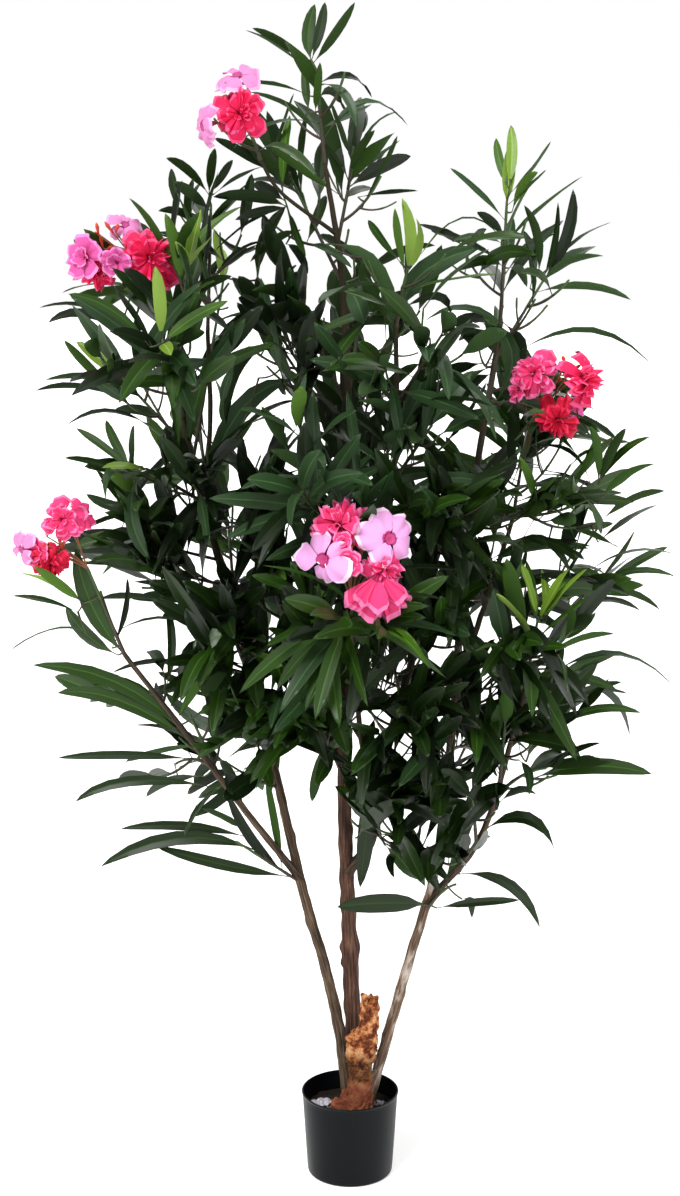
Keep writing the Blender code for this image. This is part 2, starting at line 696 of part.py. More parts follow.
class Crown:
    """The limbs, the sprays' main twigs and the blooms, which every new twig and leaf has to clear."""

    def __init__(self, limbs):
        self.limbs = limbs
        self.mains = {name: main_twig(name, limbs) for name in SPRAYS}
        self.blooms = {name: blooms_of(name, self.mains[name]) for name in BLOSSOM}
        self.centres = np.array([centre for blooms in self.blooms.values() for centre, _ in blooms])

    def has_room(self, name, points, margin):
        """Whether the points lie in the spray's own space and clear every limb and bloom."""
        near = points.mean(axis=0)
        reach = np.linalg.norm(points - near, axis=1).max()
        own = distance(points, self.mains[name])
        for other, path in self.mains.items():
            if other != name and (own + margin > distance(points, path)).any():
                return False
        for path, radii, _ in self.limbs.values():
            if distance(near[None], path)[0] > reach + radii.max() + LIMB_CLEARANCE:
                continue
            if distance(points, path, radii).min() < LIMB_CLEARANCE:
                return False
        return apart(points, self.centres) > BLOOM_RADIUS + BLOOM_CLEARANCE

    def side_twigs(self, name):
        """The side twigs that find room, each shortened where it has to be."""
        found = []
        for number in range(SPRAYS[name][4]):
            twig = side_twig(name, number, self.mains[name])
            for shorter in SHORTER:
                path = twig[0] + (twig - twig[0]) * shorter
                samples = smooth(path, 6)[4:]
                if self.has_room(name, samples, TWIG_MARGIN):
                    found.append(path)
                    break
        return found

    def leaves(self, name, twigs, number, taken):
        """The leaves of one twig that find room: whorls of three, the topmost at the twig's tip."""
        twig = twigs[number]
        foot = self.mains[name][0][2]
        nodes = max(2, round(length_of(twig) * (1.0 - BARE) / NODE_SPACING))
        first = 2 if name in BLOSSOM and number == 0 else 0
        found = []
        for node in range(first, nodes + 1, EVERY_NODE):
            for place in range(WHORL):
                for shorter in SHORTER:
                    leaf = Leaf(name, number, twig, nodes, node, place, shorter)
                    samples = leaf.samples(LEAF_SAMPLES)
                    blade = samples.reshape(3, LEAF_SAMPLES, 3)[:, LEAF_SAMPLES // 4:].reshape(-1, 3)
                    if samples[:, 2].min() < foot - HANG or not self.has_room(name, samples, SPACE_MARGIN):
                        continue
                    if any(apart(blade, other) < LEAF_APART for other in taken):
                        continue
                    if any(distance(blade, other).min() < TWIG_APART for other in twigs):
                        continue
                    taken.append(blade)
                    found.append(leaf)
                    break
        return found

    def build_spray(self, name, collection, pieces, material):
        """One spray: its twigs, leaves and blooms, fused into one solid."""
        main = self.mains[name]
        spray = tube_object(name, main, taper(len(main), *MAIN_RADIUS), TWIG_SIDES, collection, material)
        twigs = [main, *self.side_twigs(name)]
        taken = []
        for number, twig in enumerate(twigs):
            if number:
                tube_object("twig", twig, taper(len(twig), *SIDE_RADIUS), TWIG_SIDES, pieces)
            for leaf in self.leaves(name, twigs, number, taken):
                leaf.build(pieces)
        for number, (centre, facing) in enumerate(self.blooms.get(name, ())):
            root = main[-1] - unit(main[-1] - main[-2]) * PEDICEL_SUNK
            make_bloom(centre, facing, root, number, pieces)
        fuse(spray, pieces)


def main():
    """Builds every piece of the plant and its pot."""
    for old in list(bpy.data.objects):
        bpy.data.objects.remove(old)
    collection = bpy.data.collections.new(NAME)
    bpy.context.scene.collection.children.link(collection)
    pieces = bpy.data.collections.new("pieces_to_fuse")
    bpy.context.scene.collection.children.link(pieces)

    pot = plain_material("pot_plastic", (0.017, 0.018, 0.020), 0.35)
    fill = plain_material("fill_cement", (0.48, 0.46, 0.51), 0.90)
    bark = plain_material("cork_bark", (0.50, 0.21, 0.07), 0.85)
    woods = {
        "stem_left": plain_material("wood_brown", (0.155, 0.090, 0.060), 0.75),
        "stem_middle": plain_material("wood_reddish", (0.195, 0.070, 0.042), 0.75),
        "stem_right": plain_material("wood_greyish", (0.250, 0.145, 0.105), 0.75),
        "bough": plain_material("wood_bough", (0.150, 0.095, 0.065), 0.75),
    }
    leaf = plain_material("leaf_green", (0.028, 0.068, 0.018), 0.45)
    blossom = plain_material("blossom_spray", (0.060, 0.095, 0.030), 0.50)

    make_pot(collection, pot)
    make_fill(collection, fill)
    make_stub(collection, pieces, bark)
    crown = Crown(make_limbs(collection, woods))
    for name in SPRAYS:
        crown.build_spray(name, collection, pieces, blossom if name in BLOSSOM else leaf)
    bpy.data.collections.remove(pieces)


main()
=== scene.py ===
"""Dresses a packed potted oleander: bark, twigs, leaves, blossom, filling and a smooth pot.

The crown grows by the rule of the part's own source: a spray is one twig, with side twigs at golden
turns and whorls of three leaves. Here every whorl is grown, the side twigs fork once more, and each
leaf is a folded blade with a rib and a stalk. Sizes are in metres, and every piece is made in place.
"""

import functools
import math
import random
from typing import NamedTuple

import bpy
import numpy as np
from bpy.props import FloatProperty, FloatVectorProperty, IntProperty, PointerProperty
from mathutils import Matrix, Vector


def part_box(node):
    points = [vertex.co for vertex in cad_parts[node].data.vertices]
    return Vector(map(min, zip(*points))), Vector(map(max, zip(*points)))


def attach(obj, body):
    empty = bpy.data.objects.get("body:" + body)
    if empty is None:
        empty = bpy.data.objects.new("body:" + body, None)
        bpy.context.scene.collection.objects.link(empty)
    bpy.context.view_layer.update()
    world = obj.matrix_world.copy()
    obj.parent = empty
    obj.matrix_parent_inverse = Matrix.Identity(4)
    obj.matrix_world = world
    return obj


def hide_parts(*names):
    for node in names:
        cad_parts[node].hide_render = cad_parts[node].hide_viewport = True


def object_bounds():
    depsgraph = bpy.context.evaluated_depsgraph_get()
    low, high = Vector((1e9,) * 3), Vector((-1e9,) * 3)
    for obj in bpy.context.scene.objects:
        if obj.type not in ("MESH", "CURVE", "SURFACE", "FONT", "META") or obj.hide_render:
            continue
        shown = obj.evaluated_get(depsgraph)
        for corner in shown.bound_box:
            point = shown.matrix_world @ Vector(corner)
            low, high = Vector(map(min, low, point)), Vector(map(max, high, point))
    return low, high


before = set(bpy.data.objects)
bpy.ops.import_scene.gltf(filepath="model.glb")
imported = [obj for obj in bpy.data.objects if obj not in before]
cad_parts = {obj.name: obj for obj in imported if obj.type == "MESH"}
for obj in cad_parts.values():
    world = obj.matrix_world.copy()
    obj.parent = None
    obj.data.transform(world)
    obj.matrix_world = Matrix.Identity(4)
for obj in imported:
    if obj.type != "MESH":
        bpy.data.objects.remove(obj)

bl_info = {
    "name": "Potted Oleander",
    "version": (1, 0, 0),
    "blender": (4, 5, 0),
    "location": "View3D > Sidebar > Oleander",
    "description": "Builds the bark, leaves, blossom and pot of a potted oleander",
    "category": "Add Mesh",
}

CAD_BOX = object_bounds()
BODY = "root"
UP = np.array((0.0, 0.0, 1.0))
TURN = 2.0 * math.pi
GOLDEN_TURN = math.radians(137.5)

# The camera: where it stands, how far it looks down, its lens, and the frame's size in steps.
EYE = (-0.016, -2.97, 1.50)
PITCH = math.radians(10.86)
LENS = 60.08
SENSOR = 36.0
VIEW_WIDE = 680.0
VIEW_HIGH = 1196.0
FOCAL = LENS / SENSOR * VIEW_HIGH

POT_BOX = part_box("pot")
FILL_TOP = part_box("pot_fill")[1][2]
GROUND = FILL_TOP - 0.002

# The limbs, as in the part's source: radius at the ground and the tip, then the bends to the tip.
STEMS = {
    "stem_left": (
        0.0096,
        0.0040,
        ((-0.002, 0.004, GROUND), (-0.016, 0.009, 0.225), (-0.040, 0.017, 0.335), (-0.075, 0.025, 0.460),
         (-0.120, 0.040, 0.657),
         (-0.187, 0.050, 0.922), (-0.250, 0.042, 1.180), (-0.255, 0.030, 1.317)),
    ),
    "stem_middle": (
        0.0138,
        0.0028,
        ((0.010, 0.031, GROUND), (-0.002, 0.020, 0.404), (-0.010, 0.010, 0.666),
         (-0.006, 0.010, 1.100), (-0.010, 0.002, 1.377), (-0.038, 0.000, 1.574)),
    ),
    "stem_right": (
        0.0084,
        0.0042,
        ((0.027, 0.004, GROUND), (0.091, -0.010, 0.351), (0.133, -0.030, 0.526),
         (0.158, -0.030, 0.779), (0.174, 0.000, 1.019), (0.222, 0.020, 1.332)),
    ),
}

# Boughs: what carries it and how high, radius at its foot and its tip, then its bends to the tip.
BOUGHS = {
    "bough_right_fork": ("stem_middle", 0.490, 0.0085, 0.0045,
                         ((0.036, -0.004, 0.560), (0.064, -0.020, 0.735), (0.128, -0.020, 0.946))),
    "bough_cut": ("stem_middle", 0.666, 0.0080, 0.0060,
                  ((-0.040, 0.024, 0.722), (-0.101, 0.050, 0.894))),
    "bough_centre": ("bough_right_fork", 0.620, 0.0050, 0.0034,
                     ((0.020, -0.060, 0.700), (0.001, -0.160, 0.885))),
    "bough_low_left": ("stem_left", 0.478, 0.0058, 0.0034,
                       ((-0.150, -0.025, 0.588), (-0.248, -0.070, 0.738), (-0.334, -0.090, 0.862))),
    "bough_low_right": ("stem_right", 0.455, 0.0056, 0.0034,
                        ((0.200, -0.064, 0.580), (0.256, -0.100, 0.806))),
    "bough_upper_left": ("stem_middle", 1.473, 0.0028, 0.0024,
                         ((-0.100, -0.030, 1.531), (-0.130, -0.050, 1.577))),
    "bough_left_high": ("stem_left", 1.080, 0.0042, 0.0032,
                        ((-0.214, 0.064, 1.180), (-0.216, 0.070, 1.329))),
    "bough_inner_right": ("stem_middle", 0.987, 0.0048, 0.0034,
                          ((0.062, -0.050, 1.130), (0.065, -0.060, 1.340))),
    "bough_back_left": ("stem_left", 0.775, 0.0052, 0.0034,
                        ((-0.170, 0.120, 0.860), (-0.215, 0.200, 0.980))),
    "bough_back": ("stem_middle", 0.800, 0.0052, 0.0034,
                   ((0.005, 0.110, 0.900), (0.020, 0.220, 1.050))),
    "bough_back_right": ("stem_right", 0.800, 0.0052, 0.0034,
                         ((0.205, 0.080, 0.890), (0.260, 0.190, 1.020))),
}

# Sprays: what carries it and how high (TIP: at its very tip), the twig's own tip, how far the twig
# bows up, its number of side twigs, the tone that its leaves mostly have, and the share of its leaves
# that it keeps. The grey tone is painted sheen, for sprays whose leaves catch the light.
TIP = None
SPRAYS = {
    "spray_leader": ("stem_middle", TIP, (-0.050, -0.010, 1.702), 0.00, 2, "mid", 0.12),
    "spray_top_back": ("stem_middle", 1.46, (0.010, 0.070, 1.610), 0.00, 4, "deep", 0.10),
    "spray_top_left": ("stem_middle", 1.40, (-0.090, 0.100, 1.555), 0.00, 4, "deep", 0.45),
    "flowers_top": ("bough_upper_left", TIP, (-0.145, -0.070, 1.615), 0.01, 3, "mid", 0.10),
    "spray_upper_left": ("bough_left_high", TIP, (-0.210, 0.090, 1.515), 0.00, 3, "deep", 0.40),
    "flowers_high_left": ("stem_left", TIP, (-0.310, 0.000, 1.420), 0.02, 4, "mid", 0.55),
    "spray_young_left": ("stem_left", 1.28, (-0.235, -0.075, 1.425), 0.00, 3, "mid", 0.75),
    "spray_high_left": ("stem_left", 1.20, (-0.265, -0.180, 1.325), 0.00, 3, "mid", 1.00),
    "spray_far_left": ("stem_left", 1.15, (-0.340, 0.020, 1.260), 0.00, 3, "deep", 0.85),
    "spray_mid_left": ("stem_left", 1.07, (-0.300, -0.060, 1.135), 0.00, 3, "deep", 1.00),
    "flowers_low_left": ("bough_low_left", TIP, (-0.385, -0.100, 0.995), 0.00, 2, "mid", 0.55),
    "spray_low_left": ("bough_low_left", 0.76, (-0.325, -0.030, 0.790), 0.02, 2, "mid", 0.70),
    "skirt_left": ("bough_low_left", 0.68, (-0.270, 0.020, 0.665), 0.02, 2, "deep", 0.70),
    "foot_left": ("stem_left", 0.47, (-0.175, -0.030, 0.555), 0.00, 1, "deep", 0.15),
    # painted shade: the inner sprays take the darkest tone, for the shade in the crown's depth
    "spray_inner_left_high": ("stem_middle", 1.18, (-0.120, -0.020, 1.350), 0.00, 5, "dark", 1.00),
    "spray_inner_left": ("bough_cut", TIP, (-0.140, -0.020, 1.130), 0.00, 4, "dark", 1.00),
    "spray_young_inner": ("bough_inner_right", TIP, (0.080, -0.080, 1.425), 0.00, 2, "mid", 0.60),
    "spray_top_right": ("stem_right", TIP, (0.230, 0.030, 1.520), 0.00, 2, "mid", 0.10),
    "spray_shoulder_right": ("stem_right", 1.29, (0.285, 0.020, 1.405), 0.00, 4, "deep", 0.15),
    "flowers_right": ("stem_right", 1.22, (0.280, -0.050, 1.215), 0.02, 4, "deep", 1.00),
    "spray_mid_right": ("stem_right", 1.07, (0.350, -0.060, 1.090), -0.04, 3, "mid", 0.80),
    "spray_far_right": ("stem_right", 0.94, (0.365, 0.030, 0.935), -0.03, 3, "mid", 0.75),
    "spray_young_right": ("bough_low_right", TIP, (0.270, -0.140, 0.925), 0.00, 3, "mid", 1.00),
    "spray_low_right": ("bough_low_right", 0.72, (0.335, 0.000, 0.780), 0.00, 3, "deep", 0.90),
    "skirt_right": ("bough_low_right", 0.64, (0.295, -0.060, 0.680), 0.02, 3, "deep", 0.80),
    "foot_right": ("bough_low_right", 0.53, (0.205, -0.130, 0.595), 0.02, 1, "deep", 0.60),
    "foot_front": ("stem_right", 0.43, (0.160, -0.070, 0.500), 0.02, 0, "mid", 0.30),
    "flowers_centre": ("bough_centre", TIP, (0.000, -0.250, 0.975), 0.00, 4, "mid", 1.00),
    "spray_star_front": ("stem_middle", 1.05, (-0.070, -0.240, 1.125), -0.03, 3, "grey", 1.00),
    "spray_front_right": ("bough_right_fork", TIP, (0.125, -0.160, 1.105), 0.00, 4, "deep", 1.00),
    "spray_front_high": ("bough_inner_right", 1.23, (0.125, -0.170, 1.335), 0.00, 3, "grey", 1.00),
    "spray_front_left": ("stem_left", 0.78, (-0.180, -0.140, 0.925), 0.00, 4, "deep", 1.00),
    "skirt_front": ("bough_right_fork", 0.73, (0.085, -0.180, 0.785), 0.00, 4, "deep", 1.00),
    "skirt_front_left": ("bough_cut", 0.74, (-0.095, -0.120, 0.815), 0.00, 4, "mid", 1.00),
    "spray_back_high": ("stem_middle", 1.22, (0.030, 0.200, 1.440), 0.00, 3, "deep", 1.00),
    "spray_back_high_left": ("stem_left", 1.13, (-0.200, 0.220, 1.400), 0.00, 3, "mid", 1.00),
    "spray_back_high_right": ("stem_right", 1.18, (0.240, 0.200, 1.360), 0.00, 3, "deep", 1.00),
    "spray_back_left": ("bough_back_left", TIP, (-0.250, 0.310, 1.160), 0.00, 4, "mid", 1.00),
    "spray_back_mid": ("bough_back", TIP, (0.010, 0.340, 1.220), 0.00, 4, "deep", 1.00),
    "spray_back_right": ("bough_back_right", TIP, (0.290, 0.280, 1.160), 0.00, 4, "mid", 1.00),
    "skirt_back_left": ("bough_back_left", 0.87, (-0.190, 0.300, 0.900), 0.02, 3, "dark", 1.00),
    "skirt_back": ("bough_back", 0.90, (0.020, 0.310, 0.920), 0.02, 3, "deep", 1.00),
    "skirt_back_right": ("bough_back_right", 0.90, (0.240, 0.270, 0.880), 0.02, 3, "dark", 1.00),
}

# Further twigs that fill out a spray: what carries each and how high, its tip on the view (steps
# right and down, then how far behind the trunk), how far it bows up, and its number of side twigs.
FILLERS = {
    "spray_leader": (("spray_leader", TIP, (311, 60, -0.010), 0.00, 0),),
    "spray_mid_left": (("stem_left", 0.98, (128, 538, -0.03), 0.00, 3),
                       ("stem_left", 0.94, (168, 572, -0.03), 0.00, 4),
                       ("stem_left", 1.02, (210, 470, -0.07), 0.00, 4)),
    "spray_inner_left_high": (("stem_middle", 1.22, (284, 272, 0.01), 0.00, 4),),
    "spray_front_high": (("bough_inner_right", 1.10, (432, 425, -0.10), 0.00, 4),),
    "spray_mid_right": (("stem_right", 1.02, (490, 500, -0.05), 0.00, 4),),
    "spray_inner_left": (("bough_cut", 0.86, (262, 560, -0.08), 0.00, 3),),
    "spray_front_left": (("stem_left", 0.86, (250, 655, -0.11), 0.00, 3),
                         ("stem_left", 0.80, (200, 660, -0.06), 0.00, 3)),
    "skirt_left": (("stem_left", 0.62, (222, 785, -0.04), 0.02, 3),
                   ("bough_low_left", 0.66, (190, 715, -0.02), 0.00, 3)),
    "skirt_front_left": (("stem_left", 0.70, (222, 740, -0.08), 0.02, 3),
                         ("bough_cut", 0.70, (300, 735, -0.11), 0.00, 3),
                         ("stem_middle", 0.76, (312, 640, -0.12), 0.00, 3)),
    "spray_front_right": (("bough_right_fork", 0.84, (445, 610, -0.12), 0.00, 4),
                          ("bough_right_fork", 0.78, (388, 640, -0.12), 0.00, 4)),
    "skirt_front": (("bough_right_fork", 0.60, (395, 790, -0.12), 0.02, 3),
                    ("stem_right", 0.60, (432, 805, -0.10), 0.02, 3),
                    ("stem_right", 0.66, (455, 740, -0.11), 0.00, 4),
                    ("bough_right_fork", 0.74, (432, 690, -0.13), 0.00, 3),
                    ("bough_right_fork", 0.56, (385, 845, -0.06), 0.01, 3),
                    ("stem_right", 0.50, (405, 820, -0.13), 0.02, 4)),
    "spray_low_right": (("bough_low_right", 0.66, (505, 725, -0.13), 0.00, 3),
                        ("stem_right", 0.74, (495, 675, -0.07), 0.00, 4)),
    "skirt_right": (("bough_low_right", 0.56, (472, 800, -0.14), 0.02, 3),
                    ("stem_right", 0.50, (440, 850, -0.09), 0.02, 3)),
    "spray_back_left": (("bough_back_left", 0.90, (228, 520, 0.17), 0.00, 3),),
    "spray_back_mid": (("bough_back", 0.96, (320, 520, 0.16), 0.00, 3),),
    "spray_back_right": (("bough_back_right", 0.90, (462, 520, 0.15), 0.00, 3),),
    "skirt_back": (("stem_middle", 0.80, (390, 745, 0.17), 0.02, 4),
                   ("bough_back", 0.84, (325, 735, 0.20), 0.02, 3)),
    "skirt_back_left": (("stem_left", 0.74, (240, 720, 0.17), 0.02, 3),),
    "skirt_back_right": (("stem_right", 0.70, (478, 755, 0.14), 0.02, 3),),
}

# The outline that the camera sees the rule's own leaves keep inside, in steps right and down.
OUTLINE = (
    (300, 35), (330, 25), (346, 60), (374, 80), (406, 118), (402, 160), (385, 188), (362, 210),
    (392, 235), (425, 228), (468, 216), (485, 215), (502, 150), (512, 128), (530, 165), (575, 195),
    (590, 222), (600, 252), (606, 285), (560, 296), (532, 300), (510, 322), (520, 345), (570, 362),
    (590, 400), (602, 425), (640, 442), (612, 456), (646, 466), (612, 484), (650, 494), (620, 512),
    (612, 540), (662, 556), (632, 575), (664, 592), (606, 600), (590, 622), (606, 638), (560, 652),
    (590, 664), (640, 700), (598, 690), (590, 712), (560, 738), (630, 768), (600, 776), (520, 782),
    (495, 805), (540, 830), (505, 848), (478, 858), (520, 890), (470, 908), (420, 892), (395, 858),
    (378, 850), (350, 800), (330, 790), (312, 800), (300, 770), (285, 770), (292, 868),
    (190, 858), (110, 864), (122, 826), (190, 820), (205, 800), (150, 790), (100, 780),
    (170, 768), (190, 752), (130, 728), (95, 706), (60, 690), (40, 664), (110, 668), (128, 655),
    (100, 640), (70, 615), (25, 600), (20, 560), (60, 535), (100, 528), (90, 502), (112, 490),
    (95, 478), (66, 458), (100, 448), (72, 424), (38, 392), (85, 372), (92, 352), (60, 340),
    (42, 308), (66, 292), (66, 240), (120, 205), (158, 236), (176, 210), (168, 162), (204, 180),
    (212, 140), (222, 70), (262, 72), (290, 95), (305, 70), (255, 30),
)

# The openings in the crown where the sky shows, which the rule's leaves leave free: each opening's
# middle on the view, in steps right and down, then half its width and half its height.
SKY = (
    (228, 228, 13, 11), (240, 255, 16, 17), (254, 222, 8, 9), (292, 226, 9, 9), (290, 252, 7, 11),
    (272, 268, 8, 9), (318, 257, 10, 6), (316, 283, 8, 20), (350, 225, 18, 24), (382, 216, 22, 22),
    (392, 278, 9, 19), (352, 270, 7, 7), (226, 290, 14, 6), (222, 308, 18, 9), (205, 328, 7, 12),
    (253, 334, 9, 6), (197, 352, 7, 7), (289, 345, 8, 15), (296, 366, 8, 8), (373, 335, 13, 13),
    (408, 348, 10, 20), (390, 375, 6, 7), (406, 385, 6, 6), (264, 366, 13, 14), (246, 392, 13, 17),
    (232, 418, 7, 14), (206, 398, 8, 14), (213, 421, 11, 11), (200, 445, 15, 13), (278, 403, 18, 7),
    (264, 434, 13, 9), (253, 460, 5, 14), (292, 460, 10, 11), (182, 489, 9, 13), (232, 481, 7, 11),
    (233, 510, 7, 8), (387, 452, 7, 5), (418, 470, 9, 11), (336, 385, 4, 12), (430, 308, 13, 8),
    (470, 298, 33, 15), (437, 332, 8, 6), (451, 350, 9, 9), (483, 360, 9, 17), (440, 424, 12, 9),
    (465, 444, 8, 17), (484, 447, 13, 9), (555, 462, 26, 12), (515, 480, 8, 8), (512, 502, 11, 7),
    (508, 528, 9, 11), (550, 512, 14, 6), (550, 530, 16, 8), (545, 563, 22, 9), (602, 556, 20, 9),
    (485, 530, 9, 7), (440, 556, 6, 9), (494, 553, 5, 8), (544, 589, 8, 8), (137, 628, 26, 25),
    (184, 640, 12, 18), (152, 676, 22, 7), (140, 589, 22, 6), (106, 528, 11, 6), (133, 528, 6, 7),
    (181, 508, 8, 8), (152, 495, 6, 14), (185, 547, 5, 11), (197, 562, 5, 17), (211, 575, 8, 15),
    (232, 563, 6, 12), (247, 567, 7, 9), (287, 543, 4, 17), (299, 586, 5, 8), (272, 620, 6, 11),
    (237, 657, 5, 14), (271, 683, 6, 12), (288, 687, 6, 8), (197, 701, 8, 7), (190, 724, 11, 10),
    (222, 748, 15, 7), (248, 758, 9, 8), (289, 764, 7, 9), (310, 754, 7, 12), (404, 664, 9, 11),
    (391, 688, 7, 8), (440, 655, 8, 10), (481, 629, 11, 12), (494, 618, 5, 8), (488, 690, 11, 12),
    (383, 723, 9, 9), (404, 748, 11, 11), (457, 744, 11, 16), (438, 752, 8, 8), (507, 750, 8, 10),
    (355, 748, 5, 18), (407, 812, 8, 9), (425, 832, 13, 11), (473, 831, 7, 11), (384, 832, 8, 17),
    (152, 395, 12, 14), (163, 421, 12, 8), (148, 450, 11, 23), (90, 402, 26, 8), (118, 430, 8, 10),
    (74, 333, 22, 8), (125, 350, 12, 10), (129, 303, 7, 8), (146, 322, 8, 9), (172, 291, 6, 11),
    (300, 198, 14, 16), (240, 158, 9, 16), (206, 152, 7, 26), (508, 295, 10, 30), (495, 200, 9, 34),
    (136, 738, 40, 12), (600, 660, 40, 8), (612, 718, 20, 12), (600, 470, 14, 10), (388, 872, 14, 18),
    (110, 600, 10, 34), (100, 586, 24, 8), (372, 246, 26, 8), (560, 780, 60, 8), (108, 456, 22, 6),
)
